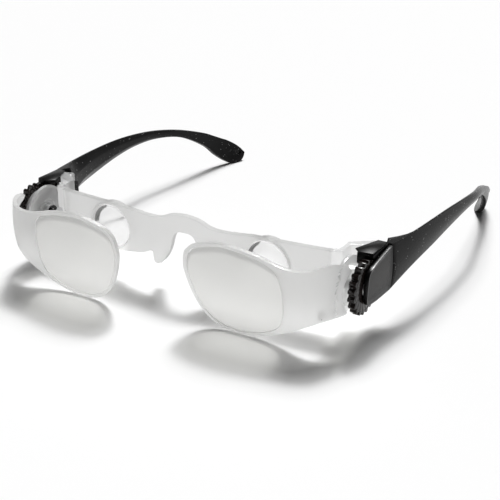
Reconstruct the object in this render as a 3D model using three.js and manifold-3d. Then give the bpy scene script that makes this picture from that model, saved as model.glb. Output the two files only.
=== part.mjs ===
// Binocular glasses: a spectacle frame that carries a small Galilean telescope before each eye.
// Millimetres, +Z up. The lenses face -Y, the temples run to +Y, and X = 0 is the middle of the bridge.
// The right-hand side in this file is the +X side. The other side is its mirror image, but for its focus.
import * as THREE from 'three';
import { mergeVertices } from 'three/addons/utils/BufferGeometryUtils.js';
import Module from 'manifold-3d';

const wasm = await Module();
wasm.setup();

// Clearances and curve fineness
const fitGap = 0.3; // between pieces that touch or run on each other
const overrun = 3; // how far a cutting solid reaches past what it cuts
const mergeTolerance = 0.0001;
const roundSides = 24; // sides of small round pieces
const wheelSides = 48; // sides of the large round pieces
const splineSteps = 36; // points along a drawn edge
const templeSteps = 45; // cross-sections along a temple

// Temple arms; the seam is the plane Y = 0 where a temple meets its end cap
const templeLength = 128; // from the seam to the end of the tip
const seamTop = 31.2; // height of the top edge at the seam
const seamHeight = 17.4; // from the lower edge at the seam to the top edge
const templeThickness = 2.4; // of the arm behind the hinge end
const tipThickness = 3.2;
const hingeEndThickness = 6.9;
const templeEdgeLeast = 0.9; // thickness left along the bevelled inner edges
const bevelHeightShare = 0.3; // of the arm's height, the height of each inner bevel
// Stations from seam to tip: shares of the length, of the half span, and three of the seam's top height,
// which are the top edge, the lower edge and how far the lower edge leans in
const templeStationShares = [
  [0, 1, 1, 0.442, 0], [0.117, 1.028, 0.995, 0.583, 0], [0.234, 1.044, 0.992, 0.661, 0],
  [0.352, 1.053, 0.977, 0.727, 0], [0.469, 1.055, 0.934, 0.76, 0], [0.586, 1.046, 0.864, 0.74, 0],
  [0.703, 1.01, 0.759, 0.642, 0], [0.82, 0.972, 0.599, 0.39, 0.01], [0.875, 0.95, 0.494, 0.179, 0.042],
  [0.91, 0.934, 0.423, 0.054, 0.093], [0.936, 0.922, 0.372, 0, 0.128], [0.958, 0.909, 0.317, 0, 0.135],
  [0.978, 0.893, 0.256, 0.029, 0.109], [0.992, 0.879, 0.199, 0.064, 0.071],
  [0.998, 0.868, 0.157, 0.096, 0.038], [1, 0.863, 0.138, 0.115, 0.026]];
const hingeEndLengthShare = 0.28; // of the length, over which the thick hinge end thins down
const thinEdgeShares = [0.12, 0.78]; // of the length, between which the inner edges are bevelled thin

// Hinges
const hingeInset = 4.95; // from the outer face at the seam in to the hinge screw
const hingeSetBack = 2.4; // from the seam back to the hinge screw
const knuckleRadius = 2.3;
const knuckleDrop = 1.6; // of the upper knuckle's top under the seam's top
const hingeScrewRadius = 0.8;
const hingeHeadRadius = 1.1;
const hingeHeadHeight = 0.8;
const tongueHeight = 6.6; // of the temple's middle knuckle

// Inner frame, with the bridge and nose pads
const frameHalfSpan = 63; // from the middle to the outer face of the arm plate
const frameFront = 18.3; // how far the frame's front face lies before the seam, at the bridge
const frameSweep = 4.2; // how far the frame's ends lie behind its middle
const frameThickness = 2.5;
const frameHeight = 19; // from the frame's lower edge to its top, which is level with the seam's
const bridgeRise = 1.5; // of the bridge above the frame's top
const bridgeDip = 1.5; // of the top edge beside the bridge
const noseArchDrop = 5.6; // from the frame's top to the underside of the bridge
const noseHalfWidth = 15.5; // from the middle to where the nose pads end
// The frame's lower edge beside the nose, from the cheek in to the middle: shares of the nose's half
// width, and of the height from the pads' foot to the underside of the bridge
const noseEdgeShares = [[1.55, 0.15], [1.25, 0.21], [1.045, 0.3], [0.955, 0.31], [0.93, 0.19], [0.9, 0.06],
  [0.81, 0.013], [0.71, 0.065], [0.58, 0.19], [0.465, 0.373], [0.387, 0.569], [0.335, 0.765], [0.27, 0.92],
  [0.155, 0.99], [0, 1]];
const armThickness = 2;
const armLength = 8.6; // of the arm plate behind the frame
const webDepth = 4.4; // of the slanted web between arm plate and hinge, along Y
const webHalfWidth = 2; // of the web where it meets the knuckles
const padLength = 15;
const padWidth = 8.6;
const padThickness = 2.2;
const padHalfSpan = 12.1;
const padSetBack = 4.7; // of the pad's middle behind the frame's front face
const padDrop = 14.8; // from the frame's top to the middle of a pad
const padFootDrop = 20.9; // from the frame's top to its lowest edge, in front of a pad
const padFlareAngle = 16; // degrees, in plan
const padLeanAngle = 18; // degrees, seen from the front

// Eye-side lenses
const pupilHalfSpan = 34.5;
const ocularRadius = 8.6;
const ocularDrop = 10.4; // from the frame's top to the lens's middle
const ocularEdge = 3;
const ocularCentre = 1.4; // thickness in the middle of the hollow-ground lens
const ocularSeatWall = 1.1;
const ocularSeatLength = 4.6;
const ocularRings = 4;

// Front carriers, drawn at the inner end of their travel
const carrierNasal = 12.8; // from the middle of the glasses to the carrier's inner end
const carrierFront = 36.8; // before the seam
const wingInset = 7.8; // from the arm plate in to where the carrier's flat front ends
const carrierFrontTurn = 3; // degrees that the front sweeps back
const carrierCornerRadius = 20; // of the outer face where the wing wraps round
const carrierCornerTurn = 68; // degrees that the wing wraps round
const carrierThickness = 1.6;
const lensHeight = 34.2;
const wingReach = 7.9; // from the arm plate out to the wing's widest point
const carrierTopShares = [[0, 0.66], [0.012, 0.79], [0.033, 0.857], [0.08, 0.915], [0.148, 0.956],
  [0.21, 0.981], [0.285, 1], [0.36, 0.993], [0.47, 0.968], [0.54, 0.942], [0.62, 0.901], [0.719, 0.872],
  [0.845, 0.878], [0.938, 0.91], [1, 0.913], [1.083, 0.82]];
const carrierLowShares = [[0.01, 0.541], [0.038, 0.386], [0.084, 0.23], [0.138, 0.121], [0.2, 0.052],
  [0.27, 0.012], [0.348, 0], [0.42, 0.005], [0.5, 0.033], [0.59, 0.084], [0.68, 0.149], [0.75, 0.207],
  [0.823, 0.268], [0.928, 0.345], [1.083, 0.43]];
const lensRim = 1.3; // width of the carrier's rim round the lens
const lensHalfWidth = 20.6; // from the lens's middle to its outer, curved border
const lensMiddleShare = 0.32; // of the carrier's span
const lensBorderPower = 2.5; // how square the outer border is
const lensBulge = 1.9; // of the front surface
const lensEdge = 1.2;
const lensRings = 5;
const carrierSteps = 22;

// Focus drive: a spiral-grooved drum on each side, turned by a ribbed thumbwheel
const focusTravel = 6.5;
const rightFocus = 1; // how far each carrier stands out from the inner end of its travel
const leftFocus = 5.2;
const travelPerRadian = 3.4;
const axleBefore = 17; // of the wheel axle before the seam
const axleDrop = 10.2; // of the wheel axle under the seam's top
const axleRadius = 1;
const axleEndReach = 0.6; // of the axle into the side cover
const clipGroove = 0.7;
const clipGrooveDepth = 0.3;
const clipThickness = 0.4;
const clipRadius = 2.3;
const clipMouthShare = 1.1; // of the groove's radius, half the width of the clip's mouth
const washerThickness = 0.4;
const washerRadius = 2.6;
const hubRadius = 2.8;
const tongueThickness = 1.8; // of the carrier's slide tongue
const slideHeight = 3.8;
const flangeRadius = 10.2;
const flangeThickness = 1.4;
const grooveDepth = 0.9;
const barrelRadius = 7.5;
const barrelLength = 3.6;
const wheelRadius = 9.8;
const wheelRootRadius = 8.9;
const wheelWidth = 2.6;
const wheelRibs = 20;
const ribTopShare = 0.3; // of the rib pitch
const ribFootShare = 0.56;
const pinRadius = 0.6;
const pinBelow = 6.3; // of the follower pin under the axle
const pinBehind = 5.8; // of the follower pin behind the axle at the inner end of travel
const guideLip = 1;
const guideFront = 22.5; // of the guide before the seam
const tongueTail = 2; // of the slide tongue behind its pin
const grooveSteps = 16;

// End cap and side cover
const capInset = 0.3; // between the drum's flange and the cap
const capFront = 12.4; // before the seam, at the cap's top
const capLowFront = 8.5; // before the seam, under the axle
const sillThickness = 1.2;
const coverThickness = 1.2;
const coverFront = 21.7; // before the seam
const coverBorder = 1.4;
const coverRecess = 0.35;
const coverShares = [[0, 0.974], [0.415, 0.925], [0.806, 0.885], [0.959, 0.81], [1, 0.644], [0.977, 0.385],
  [0.87, 0.12], [0.45, 0.01], [0, 0]]; // of the cover's length before the seam, and of the seam's height
const coverScrewRadius = 0.7;
const coverScrewHead = 1.1;
const coverScrewHeadLength = 0.9;
const coverScrewBefore = 7.7;
const coverScrewRise = 7.5; // over the wheel axle
const capScrewRadius = 0.7;
const capScrewHead = 1.4;
const capScrewHeadLength = 0.5;
const capScrewLength = 6;

// Finishes
const finish = (color, roughness, metalness, opacity = 1) => new THREE.MeshStandardMaterial(
  { color, roughness, metalness, opacity, transparent: opacity < 1 });
const frosted = finish(0xe6e7e6, 0.5, 0, 0.75);
const clearPlastic = finish(0xf2f4f6, 0.08, 0, 0.45);
const lensGlass = finish(0xeef0f2, 0.03, 0, 0.35);
const satinBlack = finish(0x2b2b2c, 0.5, 0);
const glossBlack = finish(0x1c1a1b, 0.15, 0);
const steel = finish(0xb8babc, 0.3, 1);

// Heights that follow from the seam's top
const seamBottom = seamTop - seamHeight;
const frameTop = seamTop;
const frameBottom = frameTop - frameHeight;
const noseArchTop = frameTop - noseArchDrop;
const padHeight = frameTop - padDrop;
const padFoot = frameTop - padFootDrop;
const ocularHeight = frameTop - ocularDrop;
const axleHeight = seamTop - axleDrop;
const knuckleTop = seamTop - knuckleDrop;

// Places that follow from the sizes, along X from the inner frame outwards
const armInnerX = frameHalfSpan - armThickness;
const tongueInnerX = frameHalfSpan + fitGap;
const tongueOuterX = tongueInnerX + tongueThickness;
const flangeInnerX = tongueOuterX + fitGap + clipGroove - fitGap / 2;
const flangeOuterX = flangeInnerX + flangeThickness;
const barrelOuterX = flangeOuterX + barrelLength;
const wheelInnerX = barrelOuterX + fitGap;
const wheelOuterX = wheelInnerX + wheelWidth;
const coverInnerX = wheelOuterX + fitGap;
const coverOuterX = coverInnerX + coverThickness;
const seamHalfSpan = coverOuterX; // the temple's outer face is flush with the cover's
const hingeHalfSpan = seamHalfSpan - hingeInset;
const carrierRun = frameHalfSpan - carrierNasal - wingInset;
const carrierSpan = frameHalfSpan + wingReach - carrierNasal;
const axleY = -axleBefore;
const radians = THREE.MathUtils.degToRad;

// Geometry helpers
const point = (a, b) => new THREE.Vector2(a, b);
const axes = { x: new THREE.Vector3(1, 0, 0), y: new THREE.Vector3(0, 1, 0), z: new THREE.Vector3(0, 0, 1) };

function facingOut(geometry) {
  const { position } = geometry.attributes;
  const index = geometry.index.array;
  const [a, b, c] = [new THREE.Vector3(), new THREE.Vector3(), new THREE.Vector3()];
  let volume = 0;
  for (let i = 0; i < index.length; i += 3) {
    a.fromBufferAttribute(position, index[i]);
    b.fromBufferAttribute(position, index[i + 1]);
    c.fromBufferAttribute(position, index[i + 2]);
    volume += a.dot(b.cross(c));
  }
  if (volume < 0) {
    for (let i = 0; i < index.length; i += 3) [index[i], index[i + 1]] = [index[i + 1], index[i]];
  }
  return geometry;
}

function plain(geometry) {
  geometry.deleteAttribute('normal');
  geometry.deleteAttribute('uv');
  return facingOut(mergeVertices(geometry, mergeTolerance));
}

function solidOf(geometry) {
  const closed = plain(geometry);
  return new wasm.Manifold(new wasm.Mesh({
    numProp: 3,
    vertProperties: new Float32Array(closed.attributes.position.array),
    triVerts: new Uint32Array(closed.index.array),
  }));
}

function geometryOf(solid) {
  const mesh = solid.getMesh();
  const geometry = new THREE.BufferGeometry();
  geometry.setAttribute('position', new THREE.BufferAttribute(new Float32Array(mesh.vertProperties), 3));
  geometry.setIndex(new THREE.BufferAttribute(new Uint32Array(mesh.triVerts), 1));
  geometry.computeVertexNormals();
  return geometry;
}

function mirrored(solid) {
  const geometry = geometryOf(solid);
  geometry.scale(-1, 1, 1);
  return solidOf(geometry);
}

// A prism of an outline drawn in the plane square to the named axis: (x, y), (x, z) or (y, z)
function prism(axis, outline, from, to) {
  const geometry = new THREE.ExtrudeGeometry(new THREE.Shape(outline),
    { depth: to - from, bevelEnabled: false });
  const turn = new THREE.Matrix4();
  if (axis === 'x') turn.makeBasis(axes.y, axes.z, axes.x).setPosition(from, 0, 0);
  if (axis === 'y') turn.makeBasis(axes.x, axes.z, axes.y.clone().negate()).setPosition(0, to, 0);
  if (axis === 'z') turn.setPosition(0, 0, from);
  return solidOf(geometry.applyMatrix4(turn));
}

function box(low, high) {
  const outline = [point(low[0], low[1]), point(high[0], low[1]), point(high[0], high[1]),
    point(low[0], high[1])];
  return prism('z', outline, low[2], high[2]);
}

// A turned solid: profile points are (radius, place along the axis), and place puts the axis's start
function turned(axis, profile, place, sides = roundSides) {
  const geometry = new THREE.LatheGeometry(profile.map(([r, h]) => point(r, h)), sides);
  const turn = new THREE.Matrix4();
  if (axis === 'x') turn.makeRotationZ(-Math.PI / 2);
  if (axis === 'z') turn.makeRotationX(Math.PI / 2);
  return solidOf(geometry.applyMatrix4(turn).translate(...place));
}

function rod(axis, radius, from, to, centre, sides = roundSides) {
  const place = { x: [0, ...centre], y: [centre[0], 0, centre[1]], z: [...centre, 0] }[axis];
  return turned(axis, [[0, from], [radius, from], [radius, to], [0, to]], place, sides);
}

function tube(axis, outer, inner, from, to, centre, sides = roundSides) {
  const place = { x: [0, ...centre], y: [centre[0], 0, centre[1]], z: [...centre, 0] }[axis];
  return turned(axis, [[inner, from], [outer, from], [outer, to], [inner, to], [inner, from]], place, sides);
}

function arc(centre, radius, fromAngle, toAngle, steps) {
  return Array.from({ length: steps + 1 }, (_, i) => {
    const angle = fromAngle + (toAngle - fromAngle) * i / steps;
    return point(centre.x + radius * Math.cos(angle), centre.y + radius * Math.sin(angle));
  });
}

const spline = (points, steps = splineSteps) => new THREE.SplineCurve(points).getPoints(steps);

// Moves a closed outline inwards by a distance, with its corners mitred
function inset(outline, distance) {
  const turnsLeft = THREE.ShapeUtils.area(outline) > 0 ? 1 : -1;
  const count = outline.length;
  const normals = outline.map((here, i) => {
    const along = outline[(i + 1) % count].clone().sub(here).normalize();
    return point(-along.y * turnsLeft, along.x * turnsLeft);
  });
  return outline.map((here, i) => {
    const [before, after] = [normals[(i + count - 1) % count], normals[i]];
    const scale = distance / (1 + before.dot(after));
    return point(here.x + (before.x + after.x) * scale, here.y + (before.y + after.y) * scale);
  });
}

// Temple: six-sided cross-sections along the arm, flat outside and bevelled inside
function templeSections() {
  const at = (pick) => spline(templeStationShares.map((row) => point(row[0] * templeLength, pick(row))),
    templeSteps);
  const outer = at((row) => row[1] * seamHalfSpan);
  const top = at((row) => row[2] * seamTop);
  const low = at((row) => row[3] * seamTop);
  const lean = at((row) => row[4] * seamTop);
  const [thinFrom, thinTo] = thinEdgeShares;
  return outer.map(({ x: along, y: outerX }, i) => {
    const share = along / templeLength;
    const left = Math.max(0, 1 - share / hingeEndLengthShare);
    const thickness = templeThickness + (hingeEndThickness - templeThickness) * left ** 2
      + (tipThickness - templeThickness) * THREE.MathUtils.smoothstep(share, thinTo, 1);
    const thinned = THREE.MathUtils.smoothstep(share, 0, thinFrom)
      - THREE.MathUtils.smoothstep(share, thinTo / 2, thinTo);
    const edge = THREE.MathUtils.lerp(thickness, templeEdgeLeast, thinned);
    const y = Math.max(along, fitGap);
    const lowZ = Math.max(low[i].y, 0);
    const topZ = Math.max(top[i].y, lowZ + templeEdgeLeast);
    const bevel = (topZ - lowZ) * bevelHeightShare;
    const leaning = (x, z) => [x - lean[i].y * (topZ - z) / (topZ - lowZ), y, z];
    const [edgeX, innerX] = [outerX - edge, outerX - thickness];
    return [leaning(outerX, topZ), leaning(edgeX, topZ), leaning(innerX, topZ - bevel),
      leaning(innerX, lowZ + bevel), leaning(edgeX, lowZ), leaning(outerX, lowZ)];
  });
}

// Joins rings of equal size into a closed solid
function lofted(rings) {
  const size = rings[0].length;
  const index = [];
  for (let i = 1; i < rings.length; i += 1) {
    for (let j = 0; j < size; j += 1) {
      const k = (j + 1) % size;
      const [a, b, c, d] = [(i - 1) * size + j, (i - 1) * size + k, i * size + j, i * size + k];
      index.push(a, c, b, b, c, d);
    }
  }
  const last = (rings.length - 1) * size;
  for (let j = 1; j < size - 1; j += 1) index.push(0, j, j + 1, last, last + j + 1, last + j);
  const geometry = new THREE.BufferGeometry();
  geometry.setAttribute('position', new THREE.Float32BufferAttribute(rings.flat(2), 3));
  geometry.setIndex(index);
  geometry.computeVertexNormals();
  geometry.setAttribute('uv', new THREE.Float32BufferAttribute(new Array(rings.length * size * 2).fill(0),
    2));
  return solidOf(geometry);
}

function buildTemple() {
  const hinge = point(hingeHalfSpan, hingeSetBack);
  const recess = knuckleRadius + fitGap;
  const tongueLow = (seamTop + seamBottom - tongueHeight) / 2;
  const clearance = rod('z', recess, -overrun, seamTop + overrun, [hinge.x, hinge.y])
    .add(box([0, -overrun, -overrun], [hinge.x + recess, hinge.y, seamTop + overrun]));
  const tongue = prism('z', [
    point(hinge.x - knuckleRadius, hinge.y + recess + fitGap),
    ...arc(hinge, knuckleRadius, Math.PI, 3 * Math.PI / 2, roundSides / 4),
    point(hinge.x + recess + fitGap, hinge.y - knuckleRadius),
    point(hinge.x + recess + fitGap, hinge.y + recess + fitGap),
  ], tongueLow, tongueLow + tongueHeight);
  const bore = rod('z', hingeScrewRadius + fitGap, -overrun, seamTop + overrun, [hinge.x, hinge.y]);
  return lofted(templeSections()).subtract(clearance).add(tongue).subtract(bore);
}

// Inner frame: one clouded moulding of bridge, nose pads, lens seats, arms and outer hinge knuckles
function framePlanY(x) {
  return -frameFront + frameSweep * (x / frameHalfSpan) ** 2;
}

function frameFace() {
  const halfTop = [[0, frameTop + bridgeRise], [noseHalfWidth * 0.38, frameTop + bridgeRise / 2],
    [noseHalfWidth * 0.78, frameTop - bridgeDip], [noseHalfWidth * 1.3, frameTop - bridgeDip],
    [pupilHalfSpan * 0.85, frameTop - bridgeDip / 2], [pupilHalfSpan * 1.2, frameTop - bridgeDip / 2],
    [frameHalfSpan * 0.88, frameTop - bridgeDip / 2], [frameHalfSpan, frameTop - bridgeDip / 4]];
  const halfLow = [[frameHalfSpan, seamBottom], [frameHalfSpan * 0.85, frameBottom],
    [pupilHalfSpan, frameBottom - bridgeDip / 2],
    ...noseEdgeShares.map(([across, up]) => [noseHalfWidth * across,
      padFoot + up * (noseArchTop - padFoot)])];
  const top = spline(halfTop.map(([x, z]) => point(x, z)));
  const low = spline(halfLow.map(([x, z]) => point(x, z)), splineSteps * 2);
  const half = [...top, ...low];
  const other = half.slice(1, -1).reverse().map(({ x, y }) => point(-x, y));
  return [...half, ...other];
}

function framePlan() {
  const xs = Array.from({ length: carrierSteps + 1 }, (_, i) => frameHalfSpan * (2 * i / carrierSteps - 1));
  const front = xs.map((x) => point(x, framePlanY(x)));
  const back = xs.map((x) => point(x, framePlanY(x) + frameThickness));
  return [...front, ...back.reverse()];
}

const webOuterX = hingeHalfSpan + webHalfWidth;
const webRearY = hingeSetBack - webHalfWidth - fitGap;
const webFrontY = webRearY - webDepth + fitGap;
const plateRearY = framePlanY(frameHalfSpan) + armLength;

// The front edge of the slanted web, which the end cap is fitted to
function webFrontAt(x) {
  const share = (x - frameHalfSpan) / (webOuterX - frameHalfSpan);
  return plateRearY - webDepth / 2 + (webFrontY + webDepth / 2 - plateRearY + fitGap) * share;
}

function buildArm() {
  const plate = box([armInnerX, framePlanY(frameHalfSpan), seamBottom],
    [frameHalfSpan, plateRearY, frameTop]);
  const web = prism('z', [
    point(webOuterX, webRearY),
    point(hingeHalfSpan - webHalfWidth, webRearY),
    point(armInnerX, plateRearY),
    point(armInnerX, webFrontAt(frameHalfSpan)),
    point(frameHalfSpan, webFrontAt(frameHalfSpan)),
    point(webOuterX, webFrontAt(webOuterX)),
  ], seamBottom, frameTop);
  const tongueLow = (seamTop + seamBottom - tongueHeight) / 2;
  const knuckle = [
    point(webOuterX, webRearY - webDepth / 4),
    ...arc(point(hingeHalfSpan, hingeSetBack), knuckleRadius, -Math.PI / 6, 7 * Math.PI / 6, roundSides / 2),
    point(hingeHalfSpan - webHalfWidth, webRearY - webDepth / 4),
  ];
  const knuckles = prism('z', knuckle, seamBottom, tongueLow - fitGap)
    .add(prism('z', knuckle, tongueLow + tongueHeight + fitGap, knuckleTop));
  const slideLow = axleHeight - pinBelow - slideHeight / 2 - fitGap;
  const slideHigh = slideLow + slideHeight + 2 * fitGap;
  const lipOuterX = tongueOuterX + fitGap;
  const guide = box([armInnerX, -guideFront, slideLow - guideLip],
    [frameHalfSpan, plateRearY, slideHigh + guideLip])
    .add(box([armInnerX, -guideFront, slideLow - guideLip], [lipOuterX, plateRearY, slideLow]))
    .add(box([armInnerX, -guideFront, slideHigh], [lipOuterX, plateRearY, slideHigh + guideLip]));
  const screwHole = rod('z', hingeScrewRadius + fitGap, -overrun, frameTop + overrun,
    [hingeHalfSpan, hingeSetBack])
    .add(rod('z', hingeHeadRadius + fitGap, knuckleTop - hingeHeadHeight - fitGap, frameTop + overrun,
      [hingeHalfSpan, hingeSetBack]));
  const axleHole = rod('x', axleRadius + fitGap, armInnerX - overrun, frameHalfSpan + overrun,
    [axleY, axleHeight]);
  const capHole = rod('z', capScrewRadius + fitGap, -overrun, capScrewTop + fitGap, [capScrewX, capScrewY]);
  return plate.add(web).add(knuckles).add(guide).subtract(screwHole).subtract(axleHole).subtract(capHole);
}

const capScrewX = hingeHalfSpan - webHalfWidth / 2;
const capScrewY = webRearY - webDepth / 2;
const sillTop = seamBottom - fitGap;
const sillBottom = sillTop - sillThickness;
const capScrewTop = sillBottom + capScrewLength;

function buildPad() {
  const outline = arc(point(0, 0), 1, 0, 2 * Math.PI, roundSides).slice(0, -1)
    .map(({ x, y }) => point(x * padWidth / 2, y * padLength / 2));
  const blade = geometryOf(prism('x', outline, -padThickness / 2, padThickness / 2));
  blade.rotateZ(-radians(padFlareAngle));
  blade.rotateY(-radians(padLeanAngle));
  blade.translate(padHalfSpan, -frameFront + padSetBack, padHeight);
  return solidOf(blade);
}

const ocularFrontY = framePlanY(pupilHalfSpan) - (ocularSeatLength - frameThickness) / 4;

function buildInnerFrame() {
  let frame = prism('y', frameFace(), -frameFront - overrun, 0)
    .intersect(prism('z', framePlan(), 0, frameTop + overrun));
  const seat = rod('y', ocularRadius + ocularSeatWall, ocularFrontY, ocularFrontY + ocularSeatLength,
    [pupilHalfSpan, ocularHeight], wheelSides);
  const bore = rod('y', ocularRadius + fitGap, -frameFront - overrun, 0, [pupilHalfSpan, ocularHeight],
    wheelSides);
  const arm = buildArm();
  const pad = buildPad();
  for (const piece of [seat, arm, pad]) frame = frame.add(piece).add(mirrored(piece));
  return frame.subtract(bore).subtract(mirrored(bore));
}

function buildOcular() {
  const sag = (ocularEdge - ocularCentre) / 2;
  const share = (i) => i / ocularRings;
  const front = Array.from({ length: ocularRings + 1 }, (_, i) => [ocularRadius * share(i),
    sag * (1 - share(i) ** 2)]);
  const back = front.map(([r, h]) => [r, ocularEdge - h]).reverse();
  const start = ocularFrontY + (ocularSeatLength - ocularEdge) / 2;
  return turned('y', [...front, ...back], [pupilHalfSpan, start, ocularHeight], wheelSides);
}

// Front carrier: a wrapping shell with a rimmed lens window and a slide tongue
function carrierCurve(depth) {
  const cornerStart = carrierRun;
  const cornerLength = carrierCornerRadius * radians(carrierCornerTurn);
  const total = carrierRun + cornerLength;
  const steps = carrierSteps * 8;
  const points = [];
  let [x, y] = [carrierNasal, -carrierFront];
  for (let i = 0; i <= steps; i += 1) {
    const s = total * i / steps;
    const frontTurn = radians(carrierFrontTurn) * Math.min(s, cornerStart) / cornerStart;
    const heading = frontTurn + Math.max(0, s - cornerStart) / carrierCornerRadius;
    if (i % 4 === 0) points.push(point(x - Math.sin(heading) * depth, y + Math.cos(heading) * depth));
    x += Math.cos(heading) * total / steps;
    y += Math.sin(heading) * total / steps;
  }
  return points;
}

function carrierFace() {
  const at = ([across, up]) => point(carrierNasal + across * carrierSpan, up * lensHeight);
  return spline([...carrierTopShares.map(at).reverse(), ...carrierLowShares.map(at)], splineSteps * 2);
}

function lensBorder(shrink) {
  const middle = point(carrierNasal + lensMiddleShare * carrierSpan, lensHeight / 2);
  const across = lensHalfWidth - shrink;
  const up = lensHalfWidth - shrink;
  return Array.from({ length: wheelSides }, (_, i) => {
    const angle = 2 * Math.PI * i / wheelSides;
    const [c, s] = [Math.cos(angle), Math.sin(angle)];
    return point(middle.x + across * Math.sign(c) * Math.abs(c) ** (2 / lensBorderPower),
      middle.y + up * Math.sign(s) * Math.abs(s) ** (2 / lensBorderPower));
  });
}

function lensWindow(shrink) {
  const reach = carrierFront + overrun;
  return prism('y', inset(carrierFace(), lensRim + shrink), -reach - overrun, 0)
    .intersect(prism('y', lensBorder(shrink), -reach - overrun, 0));
}

function buildTongue() {
  const corner = carrierCornerRadius - carrierThickness / 2;
  const across = tongueInnerX - carrierNasal - carrierRun
    + carrierCornerRadius * Math.sin(radians(carrierFrontTurn));
  const cornerMiddleY = -carrierFront + carrierRun * radians(carrierFrontTurn) / 2 + carrierCornerRadius;
  const frontY = cornerMiddleY - Math.sqrt(corner ** 2 - (across + tongueThickness) ** 2);
  const low = axleHeight - pinBelow - slideHeight / 2;
  const pinY = axleY + pinBehind;
  return box([tongueInnerX, frontY, low], [tongueOuterX, pinY + tongueTail, low + slideHeight])
    .subtract(rod('x', pinRadius + fitGap / 2, tongueInnerX + tongueThickness / 4, tongueOuterX + overrun,
      [pinY, axleHeight - pinBelow]));
}

function buildCarrier() {
  const strip = prism('z', [...carrierCurve(0), ...carrierCurve(carrierThickness).reverse()], -overrun,
    lensHeight + overrun);
  const relief = rod('x', wheelRadius + rightFocus + fitGap, 0, seamHalfSpan,
    [axleY + rightFocus, axleHeight],
    wheelSides);
  const shell = strip.intersect(prism('y', carrierFace(), -carrierFront - overrun, 0))
    .subtract(lensWindow(0)).subtract(relief);
  return shell.add(buildTongue());
}

function buildObjective() {
  const reach = lensHalfWidth * 1.4;
  const share = (i) => i / lensRings;
  const front = Array.from({ length: lensRings + 1 }, (_, i) => [reach * share(i),
    lensBulge * share(i) ** 2]);
  const back = lensBulge + lensEdge;
  const blank = turned('y', [...front, [reach, back], [0, back]],
    [carrierNasal + lensMiddleShare * carrierSpan, -carrierFront - lensBulge / 2, lensHeight / 2],
    wheelSides);
  return blank.intersect(lensWindow(fitGap));
}

function buildFollowerPin() {
  return rod('x', pinRadius, tongueInnerX + tongueThickness / 4 + fitGap / 2,
    flangeInnerX + grooveDepth - fitGap,
    [axleY + pinBehind, axleHeight - pinBelow]);
}

// Drum: its groove is the path that the follower pin takes as seen by the turning drum
function groovePath(focus) {
  return Array.from({ length: grooveSteps + 1 }, (_, i) => {
    const out = focusTravel * i / grooveSteps;
    const turn = (out - focus) / travelPerRadian;
    const [y, z] = [pinBehind - out, -pinBelow];
    return point(y * Math.cos(turn) + z * Math.sin(turn), z * Math.cos(turn) - y * Math.sin(turn));
  });
}

function buildDrum(focus) {
  const hubStart = frameHalfSpan + washerThickness + 2 * fitGap;
  const bore = axleRadius + fitGap;
  const profile = [[bore, hubStart], [hubRadius, hubStart], [hubRadius, flangeInnerX],
    [flangeRadius, flangeInnerX],
    [flangeRadius, flangeOuterX], [barrelRadius, flangeOuterX], [barrelRadius, barrelOuterX],
    [hubRadius, barrelOuterX], [hubRadius, wheelOuterX - fitGap], [bore, wheelOuterX - fitGap],
    [bore, hubStart]];
  const half = pinRadius + fitGap;
  const path = groovePath(focus).map((p) => point(p.x + axleY, p.y + axleHeight));
  const headings = path.map((here, i) => {
    const along = path[Math.min(i + 1, grooveSteps)].clone().sub(path[Math.max(i - 1, 0)]);
    return Math.atan2(along.y, along.x);
  });
  const beside = (i, turn) => arc(path[i], half, headings[i] + turn, headings[i] + turn, 1)[0];
  const groove = prism('x', [
    ...path.map((here, i) => beside(i, -Math.PI / 2)),
    ...arc(path[grooveSteps], half, headings[grooveSteps] - Math.PI / 2, headings[grooveSteps] + Math.PI / 2,
      roundSides / 3).slice(1, -1),
    ...path.map((here, i) => beside(i, Math.PI / 2)).reverse(),
    ...arc(path[0], half, headings[0] + Math.PI / 2, headings[0] + 3 * Math.PI / 2, roundSides / 3).slice(1,
    -1),
  ], flangeInnerX - overrun / 4, flangeInnerX + grooveDepth);
  return turned('x', profile, [0, axleY, axleHeight], wheelSides).subtract(groove);
}

function buildThumbwheel() {
  const pitch = 2 * Math.PI / wheelRibs;
  const rim = [];
  for (let i = 0; i < wheelRibs; i += 1) {
    for (const [share, radius] of [[-ribFootShare, wheelRootRadius], [-ribTopShare, wheelRadius],
      [ribTopShare, wheelRadius], [ribFootShare, wheelRootRadius]]) {
      const angle = pitch * (i + share / 2);
      rim.push(point(axleY + radius * Math.cos(angle), axleHeight + radius * Math.sin(angle)));
    }
  }
  return prism('x', rim, wheelInnerX, wheelOuterX)
    .subtract(rod('x', hubRadius + fitGap, wheelInnerX - overrun, wheelOuterX + overrun,
    [axleY, axleHeight]));
}

const clipX = armInnerX - fitGap - clipGroove;

function buildAxle() {
  const neck = axleRadius - clipGrooveDepth;
  const start = clipX - clipGroove;
  const end = coverInnerX + axleEndReach;
  return turned('x', [[0, start], [axleRadius, start], [axleRadius, clipX], [neck, clipX],
    [neck, clipX + clipGroove],
    [axleRadius, clipX + clipGroove], [axleRadius, end], [0, end]], [0, axleY, axleHeight]);
}

function buildClip() {
  const start = clipX + (clipGroove - clipThickness) / 2;
  const neck = axleRadius - clipGrooveDepth;
  const inner = (axleRadius + neck) / 2;
  const mouth = neck * clipMouthShare;
  return tube('x', clipRadius, inner, start, start + clipThickness, [axleY, axleHeight])
    .subtract(box([start - overrun, axleY - mouth, axleHeight - clipRadius - overrun],
      [start + overrun, axleY + mouth, axleHeight]));
}

function buildWasher() {
  const start = frameHalfSpan + fitGap;
  return tube('x', washerRadius, axleRadius + fitGap, start, start + washerThickness, [axleY, axleHeight]);
}

// End cap: the black block behind the wheel, hollowed round the drum, with a sill under the web
const capInnerX = flangeOuterX + capInset;
const capOuterX = coverInnerX - fitGap;
const coverScrewAt = [-coverScrewBefore, axleHeight + coverScrewRise];

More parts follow.
